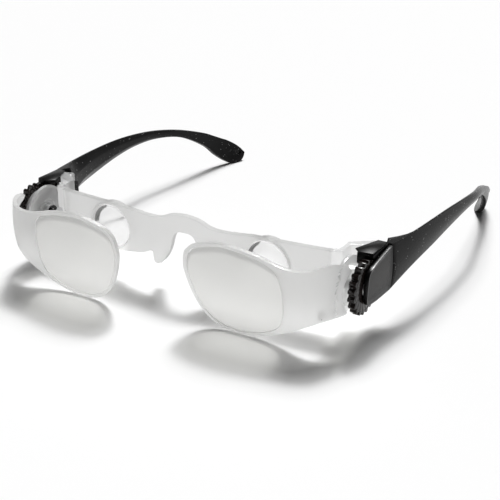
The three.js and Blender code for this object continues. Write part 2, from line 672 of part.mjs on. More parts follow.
function buildEndCap() {
  const rearX = webOuterX + fitGap;
  const block = prism('z', [
    point(capInnerX, -capFront), point(capOuterX, -capFront), point(capOuterX, 0), point(rearX, 0),
    point(rearX, webFrontAt(rearX) - fitGap), point(capInnerX, webFrontAt(capInnerX) - fitGap),
  ], sillBottom, frameTop);
  const side = prism('x', [point(0, sillBottom), point(-capLowFront, sillBottom),
    point(-capLowFront, axleHeight),
    point(-capFront, axleHeight), point(-capFront, frameTop), point(0, frameTop)], 0, seamHalfSpan);
  const sill = prism('z', [point(capInnerX, webFrontAt(capInnerX) - fitGap * 2),
    point(capOuterX, -capFront / 2),
    point(capOuterX, 0), point(capInnerX, 0)], sillBottom, sillTop);
  const drumRoom = rod('x', barrelRadius + fitGap, 0, seamHalfSpan, [axleY, axleHeight], wheelSides);
  const wheelRoom = rod('x', wheelRadius + fitGap, barrelOuterX - fitGap, seamHalfSpan, [axleY, axleHeight],
    wheelSides);
  const screwHole = rod('x', coverScrewRadius + fitGap, 0, seamHalfSpan, coverScrewAt);
  const capHole = rod('z', capScrewRadius + fitGap, 0, sillTop + fitGap, [capScrewX, capScrewY]);
  return block.intersect(side).add(sill).subtract(drumRoom).subtract(wheelRoom)
    .subtract(screwHole).subtract(capHole);
}

function coverOutline(shrink) {
  const height = seamTop - seamBottom;
  const outline = coverShares.map(([along, up]) => point(-along * coverFront, seamBottom + up * height));
  const rounded = [...spline(outline.slice(0, 7), roundSides),
    ...spline(outline.slice(6), roundSides / 4).slice(1)];
  return shrink ? inset(rounded, shrink) : rounded;
}

function buildSideCover() {
  const plate = prism('x', coverOutline(0), coverInnerX, coverOuterX);
  const panel = prism('x', coverOutline(coverBorder), coverOuterX - coverRecess, coverOuterX + overrun);
  const blind = coverInnerX + axleEndReach + fitGap / 2;
  const axleHole = rod('x', axleRadius + fitGap, 0, blind, [axleY, axleHeight]);
  const screwHole = rod('x', coverScrewRadius + fitGap, 0, blind, coverScrewAt);
  return plate.subtract(panel).subtract(axleHole).subtract(screwHole);
}

function buildCoverScrew() {
  const headEnd = capInnerX - fitGap;
  const start = headEnd - coverScrewHeadLength;
  const end = coverInnerX + axleEndReach;
  return turned('x', [[0, start], [coverScrewHead, start], [coverScrewHead, headEnd],
    [coverScrewRadius, headEnd],
    [coverScrewRadius, end], [0, end]], [0, ...coverScrewAt]);
}

function buildCapScrew() {
  const headTop = sillBottom - fitGap;
  const start = headTop - capScrewHeadLength;
  return turned('z', [[0, start], [capScrewHead, start], [capScrewHead, headTop], [capScrewRadius, headTop],
    [capScrewRadius, capScrewTop], [0, capScrewTop]], [capScrewX, capScrewY, 0]);
}

function buildHingeScrew() {
  const headTop = knuckleTop - fitGap / 2;
  const headLow = headTop - hingeHeadHeight;
  const low = seamBottom + fitGap;
  return turned('z', [[0, low], [hingeScrewRadius, low], [hingeScrewRadius, headLow],
    [hingeHeadRadius, headLow],
    [hingeHeadRadius, headTop], [0, headTop]], [hingeHalfSpan, hingeSetBack, 0]);
}

// Assembly
const glasses = new THREE.Group();

function addPiece(parent, name, solid, material) {
  const mesh = new THREE.Mesh(geometryOf(solid), material);
  mesh.name = name;
  parent.add(mesh);
}

addPiece(glasses, 'inner_frame', buildInnerFrame(), frosted);

for (const [side, focus] of [['right', rightFocus], ['left', leftFocus]]) {
  const place = side === 'right' ? (solid) => solid : mirrored;
  const add = (parent, name, solid, material) => addPiece(parent, `${name}_${side}`, place(solid), material);
  const carrier = new THREE.Group();
  carrier.position.y = -focus;
  glasses.add(carrier);
  add(carrier, 'front_carrier', buildCarrier(), frosted);
  add(carrier, 'objective_lens', buildObjective(), lensGlass);
  add(carrier, 'follower_pin', buildFollowerPin(), steel);
  add(glasses, 'ocular_lens', buildOcular(), lensGlass);
  add(glasses, 'cam_drum', buildDrum(focus), clearPlastic);
  add(glasses, 'thumbwheel', buildThumbwheel(), glossBlack);
  add(glasses, 'wheel_axle', buildAxle(), steel);
  add(glasses, 'axle_clip', buildClip(), steel);
  add(glasses, 'spring_washer', buildWasher(), steel);
  add(glasses, 'end_cap', buildEndCap(), satinBlack);
  add(glasses, 'side_cover', buildSideCover(), glossBlack);
  add(glasses, 'cover_screw', buildCoverScrew(), steel);
  add(glasses, 'cap_screw', buildCapScrew(), steel);
  add(glasses, 'hinge_screw', buildHingeScrew(), steel);
  add(glasses, 'temple', buildTemple(), satinBlack);
}

// The origin is on the floor, in the middle of the glasses
const extent = new THREE.Box3().setFromObject(glasses);
glasses.position.set(0, -(extent.min.y + extent.max.y) / 2, -extent.min.z);

export default glasses;
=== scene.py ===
"""Binocular glasses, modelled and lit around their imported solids.

Sizes are drawn in millimetres from the middle of the bridge and the seam where a temple meets its end cap.
`spot` turns them into the frame of the solids, in metres. Each sub-assembly is a class that builds its
pieces, dresses them and hands them to the body that they ride on.
"""
import logging
import math
from dataclasses import dataclass, field
from enum import Enum
from typing import Callable, ClassVar, Sequence

import bmesh
import bpy
from mathutils import Matrix, Vector


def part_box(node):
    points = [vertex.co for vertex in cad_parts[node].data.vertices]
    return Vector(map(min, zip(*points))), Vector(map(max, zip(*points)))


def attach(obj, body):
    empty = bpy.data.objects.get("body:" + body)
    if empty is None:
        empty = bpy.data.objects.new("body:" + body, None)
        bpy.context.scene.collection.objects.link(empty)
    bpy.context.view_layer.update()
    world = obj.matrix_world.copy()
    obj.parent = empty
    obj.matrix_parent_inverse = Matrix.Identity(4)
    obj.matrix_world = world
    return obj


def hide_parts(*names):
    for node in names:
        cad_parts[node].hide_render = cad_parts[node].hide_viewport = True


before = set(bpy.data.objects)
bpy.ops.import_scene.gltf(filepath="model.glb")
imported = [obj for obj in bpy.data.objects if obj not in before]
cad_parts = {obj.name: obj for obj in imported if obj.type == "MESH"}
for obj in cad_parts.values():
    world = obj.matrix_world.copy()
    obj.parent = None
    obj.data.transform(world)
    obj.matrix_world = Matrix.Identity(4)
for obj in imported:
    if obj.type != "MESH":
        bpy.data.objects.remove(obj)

log = logging.getLogger("binocular_glasses")

MM = 0.001
TINY = 1e-9
WELD = 0.002
FLAT = math.radians(0.6)
SEAM_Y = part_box("end_cap_right")[1].y

Pair = tuple[float, float]
Piece, Node, Socket, Tree = bpy.types.Object, bpy.types.Node, bpy.types.NodeSocket, bpy.types.NodeTree


class Side(Enum):
    """The two halves of the glasses, each with the sign of its X."""

    RIGHT = 1
    LEFT = -1

    def named(self, stem: str) -> str:
        """Returns the name of this side's piece or node."""
        return f"{stem}_{self.name.lower()}"

    def body(self, stem: str) -> str:
        """Returns the name of this side's moving body."""
        return f"{self.name.lower()}_{stem}"


def spot(x: float, y: float, z: float, side: Side = Side.RIGHT) -> Vector:
    """Turns millimetres outwards, behind the seam and over the floor into a place among the solids."""
    return Vector((x * side.value * MM, SEAM_Y + y * MM, z * MM))


def smooth_line(points: Sequence[Sequence[float]], steps: int) -> list[tuple[float, ...]]:
    """Draws an even Catmull-Rom line through points of any dimension.

    Args:
        points: What the line passes through.
        steps: Number of equal steps along it.

    Returns:
        steps + 1 points on the line.
    """
    last = len(points) - 1
    line = []
    for i in range(steps + 1):
        at = last * i / steps
        k = min(int(at), last - 1)
        t = at - k
        p0, p1, p2, p3 = (points[min(max(k + j, 0), last)] for j in (-1, 0, 1, 2))
        line.append(tuple(
            0.5 * (2 * b + (c - a) * t + (2 * a - 5 * b + 4 * c - d) * t * t
                   + (3 * b - a - 3 * c + d) * t ** 3)
            for a, b, c, d in zip(p0, p1, p2, p3)))
    return line


def even_line(line: Sequence[Pair], count: int) -> list[Pair]:
    """Spaces points evenly along a line.

    Args:
        line: Points of the line.
        count: Number of steps to divide it into.

    Returns:
        count + 1 points from its start to its end.
    """
    lengths = [0.0]
    for a, b in zip(line, line[1:]):
        lengths.append(lengths[-1] + math.dist(a, b))
    spaced, k = [], 0
    for i in range(count + 1):
        want = lengths[-1] * i / count
        while k < len(line) - 2 and lengths[k + 1] < want:
            k += 1
        t = (want - lengths[k]) / max(lengths[k + 1] - lengths[k], TINY)
        spaced.append(tuple(p + (q - p) * min(t, 1.0) for p, q in zip(line[k], line[k + 1])))
    return spaced


def blend_step(low: float, high: float, value: float) -> float:
    """Returns a smooth 0 to 1 as value goes from low to high."""
    t = min(max((value - low) / (high - low), 0.0), 1.0)
    return t * t * (3 - 2 * t)


def lens_skin(share: float, face: float, land: float, fullness: float) -> Pair:
    """Reads a place on a lens's skin, from its front pole to its back pole.

    Args:
        share: How far along the skin the place is.
        face: The share at which the front face ends; the back face is as long.
        land: How far either face reaches, as a share of the lens.
        fullness: The power that rounds the edge.

    Returns:
        The place's reach as a share of the lens, and how far over the edge it is: 0 in front, 1 behind.
    """
    turn = min(max((share - face) / (1 - 2 * face), 0.0), 1.0)
    if 0 < turn < 1:
        return land + (1 - land) * math.sin(math.pi * turn) ** fullness, turn
    return min(share, 1 - share) / face * land, turn


def select_nothing() -> None:
    """Leaves nothing selected."""
    bpy.ops.object.select_all(action="DESELECT")


def select_only(piece: Piece) -> None:
    """Makes one piece the only one selected, and active."""
    select_nothing()
    piece.select_set(True)
    bpy.context.view_layer.objects.active = piece


def name_new(name: str) -> Piece:
    """Names the piece that was just added, and its mesh, and returns it."""
    piece = bpy.context.object
    piece.name = piece.data.name = name
    return piece


def settle(piece: Piece) -> Piece:
    """Puts a piece's place into its mesh and its object at the origin, and returns it."""
    select_only(piece)
    bpy.ops.object.transform_apply(location=True, rotation=True, scale=True)
    return piece


def copy_solid(node: str, name: str) -> Piece:
    """Copies a solid and makes its loose triangles one clean surface.

    Args:
        node: The solid's node.
        name: The name of the new piece.

    Returns:
        The copy, with flat regions joined into single faces.
    """
    piece = bpy.data.objects.new(name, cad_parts[node].data.copy())
    piece.data.name = name
    piece.data.materials.clear()
    bpy.context.scene.collection.objects.link(piece)
    edit(piece, "VERT")
    bpy.ops.mesh.remove_doubles(threshold=WELD * MM)
    bpy.ops.mesh.dissolve_limited(angle_limit=FLAT)
    leave_edit()
    return piece


def edit(piece: Piece, kind: str, test: Callable = lambda part: True) -> None:
    """Enters edit mode with what passes a test selected.

    Args:
        piece: The piece to edit.
        kind: VERT, EDGE or FACE.
        test: Says of each bmesh point, edge or face whether it is selected; without it, all are.
    """
    select_only(piece)
    bpy.ops.object.mode_set(mode="EDIT")
    bpy.ops.mesh.select_mode(type=kind)
    bpy.ops.mesh.select_all(action="DESELECT")
    shape = bmesh.from_edit_mesh(piece.data)
    parts = {"VERT": shape.verts, "EDGE": shape.edges, "FACE": shape.faces}[kind]
    for part in parts:
        part.select = bool(test(part))
    shape.select_flush_mode()
    bmesh.update_edit_mesh(piece.data)


def leave_edit() -> None:
    """Leaves edit mode."""
    bpy.ops.object.mode_set(mode="OBJECT")


def face_out(piece: Piece) -> None:
    """Turns every face of a closed piece outwards."""
    edit(piece, "FACE")
    bpy.ops.mesh.normals_make_consistent(inside=False)
    if bmesh.from_edit_mesh(piece.data).calc_volume(signed=True) < 0:
        bpy.ops.mesh.flip_normals()
    leave_edit()


def modify(piece: Piece, kind: str, **settings: object) -> None:
    """Adds a modifier and applies it.

    Args:
        piece: The piece.
        kind: The modifier's type.
        settings: Its own properties.
    """
    select_only(piece)
    modifier = piece.modifiers.new(kind.title(), kind)
    for key, value in settings.items():
        setattr(modifier, key, value)
    bpy.ops.object.modifier_apply(modifier=modifier.name)


def soften(piece: Piece, width: float, segments: int = 2, angle: float = 30) -> None:
    """Rounds the sharp edges of a piece and shades the rest smooth.

    Args:
        piece: The piece.
        width: Width of the rounding in millimetres.
        segments: Faces across the rounding.
        angle: Degrees over which an edge counts as sharp.
    """
    modify(piece, "BEVEL", width=width * MM, segments=segments, limit_method="ANGLE",
           angle_limit=math.radians(angle), use_clamp_overlap=True)
    shade(piece, angle)


def shade(piece: Piece, angle: float = 40) -> None:
    """Shades a piece smooth but for edges sharper than an angle in degrees."""
    select_only(piece)
    bpy.ops.object.shade_smooth_by_angle(angle=math.radians(angle))


def cut(piece: Piece, *cutters: Piece) -> None:
    """Takes shapes out of a piece.

    Args:
        piece: The piece.
        cutters: The shapes, which are deleted.
    """
    for cutter in cutters:
        modify(piece, "BOOLEAN", object=cutter, operation="DIFFERENCE", solver="MANIFOLD")
        bpy.data.objects.remove(cutter)


def join(piece: Piece, *others: Piece) -> Piece:
    """Makes pieces one.

    Args:
        piece: The piece that stays.
        others: What becomes part of it.

    Returns:
        The piece that stays.
    """
    select_only(piece)
    for other in others:
        other.select_set(True)
    bpy.ops.object.join()
    return piece


def add_grid(name: str, columns: int, rows: int, place: Callable) -> Piece:
    """Adds a grid and lays it where a function says.

    Args:
        name: The name of the piece.
        columns: Faces across.
        rows: Faces up.
        place: Gives a point for each pair of shares, across and up.

    Returns:
        The sheet, still without thickness.
    """
    select_nothing()
    bpy.ops.mesh.primitive_grid_add(x_subdivisions=columns, y_subdivisions=rows, size=2)
    piece = name_new(name)
    for vertex in piece.data.vertices:
        vertex.co = place((vertex.co.x + 1) / 2, (vertex.co.y + 1) / 2)
    return piece


def add_ball(name: str, segments: int, rings: int, place: Callable) -> Piece:
    """Adds a ball and lays its surface where a function says.

    Args:
        name: The name of the piece.
        segments: Faces round it.
        rings: Faces from pole to pole.
        place: Gives a point for an angle round it and a share from its front pole to its back pole.

    Returns:
        The closed piece.
    """
    select_nothing()
    bpy.ops.mesh.primitive_uv_sphere_add(segments=segments, ring_count=rings, radius=1)
    piece = name_new(name)
    for vertex in piece.data.vertices:
        x, y, z = vertex.co.normalized()
        vertex.co = place(math.atan2(y, x), math.acos(min(max(z, -1), 1)) / math.pi)
    face_out(piece)
    return piece


def add_cylinder(name: str, radius: float, span: Pair, centre: Pair, side: Side, upright: bool = False,
                 sides: int = 48) -> Piece:
    """Adds a cylinder across the glasses, or an upright one.

    Args:
        name: The name of the piece.
        radius: Its radius in millimetres.
        span: Where it starts and ends, in millimetres as drawn.
        centre: Its other two places, in millimetres as drawn.
        side: The half of the glasses.
        upright: Whether it stands up.
        sides: Faces round it.

    Returns:
        The cylinder, settled.
    """
    middle = sum(span) / 2
    place = (*centre, middle) if upright else (middle, *centre)
    turn = (0, 0 if upright else math.pi / 2, 0)
    select_nothing()
    bpy.ops.mesh.primitive_cylinder_add(vertices=sides, radius=radius * MM, depth=(span[1] - span[0]) * MM,
                                        location=spot(*place, side), rotation=turn)
    return settle(name_new(name))


def add_ring(name: str, radius: float, width: float, place: Sequence[float], side: Side) -> Piece:
    """Adds a round-section ring about an axis that runs across the glasses.

    Args:
        name: The name of the piece.
        radius: From the axis to the middle of the ring's section, in millimetres.
        width: Across the section, in millimetres.
        place: The ring's middle, in millimetres as drawn.
        side: The half of the glasses.

    Returns:
        The ring, settled.
    """
    select_nothing()
    bpy.ops.mesh.primitive_torus_add(major_segments=72, minor_segments=10, major_radius=radius * MM,
                                     minor_radius=width / 2 * MM, location=spot(*place, side),
                                     rotation=(0, math.pi / 2, 0))
    return settle(name_new(name))


def add_block(name: str, low: Sequence[float], high: Sequence[float], side: Side) -> Piece:
    """Adds a box.

    Args:
        name: The name of the piece.
        low: One corner, in millimetres as drawn.
        high: The corner opposite.
        side: The half of the glasses.

    Returns:
        The box, settled.
    """
    a, b = spot(*low, side), spot(*high, side)
    select_nothing()
    bpy.ops.mesh.primitive_cube_add(size=1, location=(a + b) / 2)
    piece = name_new(name)
    piece.scale = [abs(v) for v in b - a]
    return settle(piece)


def add_plate(name: str, outline: Sequence[Vector], reach: Vector) -> Piece:
    """Fills an outline and extrudes it.

    Args:
        name: The name of the piece.
        outline: Points round it, in metres.
        reach: How far and which way it is extruded.

    Returns:
        The closed plate.
    """
    select_nothing()
    bpy.ops.mesh.primitive_circle_add(vertices=len(outline), fill_type="NGON")
    piece = name_new(name)
    for vertex, place in zip(piece.data.vertices, outline):
        vertex.co = place
    edit(piece, "FACE")
    bpy.ops.mesh.extrude_region_move(TRANSFORM_OT_translate={"value": reach})
    leave_edit()
    face_out(piece)
    return piece


def dress_piece(piece: Piece, main: "Finish", other: "Finish", test: Callable) -> None:
    """Dresses a piece in one finish, and the faces that pass a test in another.

    Args:
        piece: The piece.
        main: The finish of most of it.
        other: The finish of the rest.
        test: Says of each face whether it has the other finish.
    """
    piece.data.materials.append(main.material())
    piece.data.materials.append(other.material())
    for face in piece.data.polygons:
        face.material_index = int(test(face))


def hand_in(piece: Piece, body: str, finish: "Finish", node: str) -> None:
    """Gives a finished piece to its body, dressed if it isn't yet.

    Args:
        piece: The piece.
        body: The body that it rides on.
        finish: What it is made of.
        node: The solid that it stands for.
    """
    if not any(piece.data.materials):
        piece.data.materials.clear()
        piece.data.materials.append(finish.material())
    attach(piece, body)
    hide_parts(node)
    log.info("%s: %d faces, on %s", piece.name, len(piece.data.polygons), body)


def hand_in_copy(side: Side, node: str, stem: str, body: str, finish: "Finish", width: float) -> None:
    """Hands in a rounded copy of a solid that already has every form.

    Args:
        side: The half of the glasses.
        node: The solid, without its side.
        stem: The copy's name, without its side.
        body: The body that it rides on.
        finish: What it is made of.
        width: Width of the rounding in millimetres.
    """
    piece = copy_solid(side.named(node), side.named(stem))
    soften(piece, width)
    hand_in(piece, body, finish, side.named(node))


class Nodes:
    """Adds and links the nodes of one material, group or world."""

    def __init__(self, tree: Tree) -> None:
        """Starts on a node tree."""
        self.tree = tree

    def add(self, kind: str, inputs: dict | None = None, **settings: object) -> Node:
        """Adds a node.

        Args:
            kind: Its type.
            inputs: Values for its sockets, or the sockets that feed them.
            settings: Its own properties.

        Returns:
            The node.
        """
        node = self.tree.nodes.new(kind)
        for key, value in settings.items():
            setattr(node, key, value)
        for key, value in (inputs or {}).items():
            if isinstance(value, Socket):
                self.tree.links.new(value, node.inputs[key])
            else:
                node.inputs[key].default_value = value
        return node

    def math(self, operation: str, *values: object) -> Socket:
        """Adds a math node and returns its result."""
        return self.add("ShaderNodeMath", dict(enumerate(values)), operation=operation).outputs[0]

    def remap(self, value: Socket, span: Pair, least: object, most: object) -> Socket:
        """Adds a node that maps a span of values to least and most, and returns its result."""
        return self.add("ShaderNodeMapRange", {"Value": value, "From Min": span[0], "From Max": span[1],
                                               "To Min": least, "To Max": most}).outputs["Result"]

    def mix(self, share: object, first: Node, second: Node) -> Node:
        """Adds a node that mixes two shaders."""
        return self.add("ShaderNodeMixShader", {0: share, 1: first.outputs[0], 2: second.outputs[0]})


class Groups:
    """Shader node groups that several finishes use, each built once."""

    made: dict[str, Tree] = {}
    wave_span: Pair = (0.3, 0.7)
    dot_span: Pair = (0.1, 0.26)
    bare_share: float = 0.72

    @classmethod
    def start(cls, name: str, inputs: dict[str, float],
              outputs: dict[str, str]) -> tuple[Nodes, dict, Node]:
        """Makes an empty group with named sockets.

        Args:
            name: The group's name.
            inputs: Its number inputs with their usual values.
            outputs: Its outputs with their socket types.

        Returns:
            Its nodes, its inputs as sockets by name, and its output node.
        """
        tree = bpy.data.node_groups.new(name, "ShaderNodeTree")
        for key, value in inputs.items():
            socket = tree.interface.new_socket(key, in_out="INPUT", socket_type="NodeSocketFloat")
            socket.default_value = value
        for key, kind in outputs.items():
            tree.interface.new_socket(key, in_out="OUTPUT", socket_type=kind)
        nodes = Nodes(tree)
        given = nodes.add("NodeGroupInput").outputs
        cls.made[name] = tree
        return nodes, {key: given[key] for key in inputs}, nodes.add("NodeGroupOutput")

    @classmethod
    def moulded_skin(cls) -> Tree:
        """Returns the group for roughness and a slight waviness, as the skin of a moulding has."""
        if "moulded_skin" in cls.made:
            return cls.made["moulded_skin"]
        nodes, given, out = cls.start("moulded_skin", {"Scale": 60, "Least": 0.1, "Most": 0.2},
                                      {"Roughness": "NodeSocketFloat", "Height": "NodeSocketFloat"})
        place = nodes.add("ShaderNodeTexCoord").outputs["Object"]
        wave = nodes.add("ShaderNodeTexNoise", {"Vector": place, "Scale": given["Scale"], "Detail": 2.0})
        rough = nodes.remap(wave.outputs["Fac"], cls.wave_span, given["Least"], given["Most"])
        nodes.tree.links.new(rough, out.inputs["Roughness"])
        nodes.tree.links.new(wave.outputs["Fac"], out.inputs["Height"])
        return cls.made["moulded_skin"]

    @classmethod
    def fine_specks(cls) -> Tree:
        """Returns the group for sparse light specks and a fine grain, as on satin plastic."""
        if "fine_specks" in cls.made:
            return cls.made["fine_specks"]
        nodes, given, out = cls.start("fine_specks", {"Speck Scale": 900, "Grain Scale": 3500, "Amount": 0.5},
                                      {"Speck": "NodeSocketFloat", "Height": "NodeSocketFloat"})
        place = nodes.add("ShaderNodeTexCoord").outputs["Object"]
        cells = nodes.add("ShaderNodeTexVoronoi", {"Vector": place, "Scale": given["Speck Scale"]})
        dots = nodes.remap(cells.outputs["Distance"], cls.dot_span, 1.0, 0.0)
        chance = nodes.add("ShaderNodeSeparateColor", {"Color": cells.outputs["Color"]})
        few = nodes.math("GREATER_THAN", chance.outputs[0], cls.bare_share)
        speck = nodes.math("MULTIPLY", nodes.math("MULTIPLY", dots, few), given["Amount"])
        grain = nodes.add("ShaderNodeTexNoise",
                          {"Vector": place, "Scale": given["Grain Scale"], "Detail": 1.0})
        nodes.tree.links.new(speck, out.inputs["Speck"])
        nodes.tree.links.new(grain.outputs["Fac"], out.inputs["Height"])
        return cls.made["fine_specks"]


Colour = tuple[float, float, float]


@dataclass(frozen=True)
class Finish:
    """What every finish has: the record's slot, its colour and how rough its skin is."""

    made: ClassVar[dict[str, bpy.types.Material]] = {}

    slot: str
    colour: Colour
    least_rough: float
    most_rough: float
    wave_scale: float = 60
    relief: float = 0.0
    gloss: float = 0.5
    called: str = ""

    def material(self) -> bpy.types.Material:
        """Returns this finish's material, built the first time that it is asked for."""
        name = self.called or self.slot
        if name in self.made:
            return self.made[name]
        material = bpy.data.materials.get(name) or bpy.data.materials.new(name)
        material.use_nodes = True
        material.node_tree.nodes.clear()
        nodes = Nodes(material.node_tree)
        skin = nodes.add("ShaderNodeGroup", node_tree=Groups.moulded_skin())
        skin.inputs["Scale"].default_value = self.wave_scale
        skin.inputs["Least"].default_value = self.least_rough
        skin.inputs["Most"].default_value = self.most_rough
        shader = nodes.add("ShaderNodeBsdfPrincipled", {
            "Base Color": (*self.colour, 1), "Specular IOR Level": self.gloss,
            "Roughness": skin.outputs["Roughness"]})
        nodes.add("ShaderNodeOutputMaterial", {"Surface": shader.outputs["BSDF"]})
        self.dress(nodes, shader, skin)
        self.made[name] = material
        return material

    def bump(self, nodes: Nodes, shader: Node, height: Socket) -> None:
        """Feeds a height into the shader's normal, as deep as this finish's relief in metres."""
        bump = nodes.add("ShaderNodeBump", {"Height": height, "Distance": self.relief, "Strength": 1.0})
        nodes.tree.links.new(bump.outputs["Normal"], shader.inputs["Normal"])

    def dress(self, nodes: Nodes, shader: Node, skin: Node) -> None:
        """Adds what is special to a kind of finish; a plain one has only its waviness.

        Args:
            nodes: The material's nodes.
            shader: Its Principled BSDF.
            skin: Its moulded skin.
        """
        if self.relief:
            self.bump(nodes, shader, skin.outputs["Height"])


@dataclass(frozen=True)
class SeeThrough(Finish):
    """A clear or clouded plastic that lets light through to its own shadow."""

    through: float = 0.85
    milk: float = 0.7
    bending: float = 1.49
    coat: float = 0.0
    coat_rough: float = 0.02
    shade: float = 0.7
    rim_shade: float = 0.4
    rim_blend: float = 0.35
    warmth: float = 0.98

    def dress(self, nodes: Nodes, shader: Node, skin: Node) -> None:
        """Makes it see-through, scatters light once in each sheet, and gives its shadow a lighter tone.

        Args:
            nodes: The material's nodes.
            shader: Its Principled BSDF.
            skin: Its moulded skin; not used here.
        """
        shader.inputs["Transmission Weight"].default_value = self.through
        shader.inputs["IOR"].default_value = self.bending
        shader.inputs["Coat Weight"].default_value = self.coat
        shader.inputs["Coat Roughness"].default_value = self.coat_rough
        cloud = nodes.add("ShaderNodeBsdfTranslucent", {"Color": (*self.colour, 1)})
        milky = nodes.mix(self.milk, shader, cloud)
        inside = nodes.add("ShaderNodeNewGeometry").outputs["Backfacing"]
        sheet = nodes.mix(inside, milky, nodes.add("ShaderNodeBsdfTransparent"))
        facing = nodes.add("ShaderNodeLayerWeight", {"Blend": self.rim_blend}).outputs["Facing"]
        grey = nodes.remap(facing, (0.0, 1.0), self.shade, self.rim_shade)
        tint = nodes.add("ShaderNodeCombineColor",
                         {0: grey, 1: grey, 2: nodes.math("MULTIPLY", grey, self.warmth)})
        hole = nodes.add("ShaderNodeBsdfTransparent", {"Color": tint.outputs["Color"]})
        ray = nodes.add("ShaderNodeLightPath").outputs["Is Shadow Ray"]
        whole = nodes.mix(ray, sheet, hole)
        nodes.tree.links.new(whole.outputs[0], nodes.tree.nodes["Material Output"].inputs["Surface"])


@dataclass(frozen=True)
class SatinBlack(Finish):
    """A black plastic with a fine grain and sparse light specks."""

    relief: float = 0.00002
    speck: Colour = (0.3, 0.3, 0.3)
    speck_scale: float = 850
    speck_amount: float = 0.5

    def dress(self, nodes: Nodes, shader: Node, skin: Node) -> None:
        """Adds the specks and the grain.

        Args:
            nodes: The material's nodes.
            shader: Its Principled BSDF.
            skin: Its moulded skin; not used here.
        """
        specks = nodes.add("ShaderNodeGroup", node_tree=Groups.fine_specks())
        specks.inputs["Speck Scale"].default_value = self.speck_scale
        specks.inputs["Amount"].default_value = self.speck_amount
        colours = {0: specks.outputs["Speck"], 6: (*self.colour, 1), 7: (*self.speck, 1)}
        tint = nodes.add("ShaderNodeMix", colours, data_type="RGBA")
        nodes.tree.links.new(tint.outputs[2], shader.inputs["Base Color"])
        self.bump(nodes, shader, specks.outputs["Height"])


@dataclass(frozen=True)
class Metal(Finish):
    """A turned or stamped metal."""

    def dress(self, nodes: Nodes, shader: Node, skin: Node) -> None:
        """Makes it metal."""
        shader.inputs["Metallic"].default_value = 1.0


FROSTED = SeeThrough("frosted_plastic", (0.71, 0.71, 0.705), 0.5, 0.58, shade=0.36, rim_shade=0.28)
CARRIER = SeeThrough("carrier_plastic", (0.83, 0.83, 0.825), 0.5, 0.58, coat=0.8, shade=0.21, rim_shade=0.16)
LENS = SeeThrough("lens_glass", (0.64, 0.64, 0.63), 0.5, 0.58, wave_scale=20, coat=1.0, shade=0.66,
                  rim_shade=0.3)
EYE_GLASS = SeeThrough("lens_glass", (0.9, 0.9, 0.9), 0.02, 0.05, called="eye_glass", through=0.95,
                       milk=0.28, coat=0.5, shade=0.6)
CLOUDED = SeeThrough("clear_plastic", (0.95, 0.95, 0.95), 0.06, 0.12, called="clouded_plastic", through=0.6,
                     milk=0.25, coat=1.0)
STEEL = Metal("steel", (0.62, 0.62, 0.63), 0.22, 0.34)
GLOSS_BLACK = Finish("gloss_black", (0.006, 0.0055, 0.0055), 0.24, 0.32, wave_scale=140, relief=0.00002,
                     gloss=0.09)
COVER_BLACK = SatinBlack("cover_black", (0.016, 0.0145, 0.0135), 0.2, 0.26, speck_amount=0.2, gloss=0.13)
SATIN_BLACK = SatinBlack("satin_black", (0.005, 0.005, 0.005), 0.2, 0.28, speck_amount=0.1, gloss=0.3)
TEMPLE_BLACK = SatinBlack("temple_black", (0.013, 0.013, 0.013), 0.22, 0.27, speck_amount=0.9, gloss=0.09)
WHEEL_BLACK = Finish("gloss_black", (0.014, 0.01, 0.009), 0.1, 0.16, called="wheel_black", gloss=0.3)


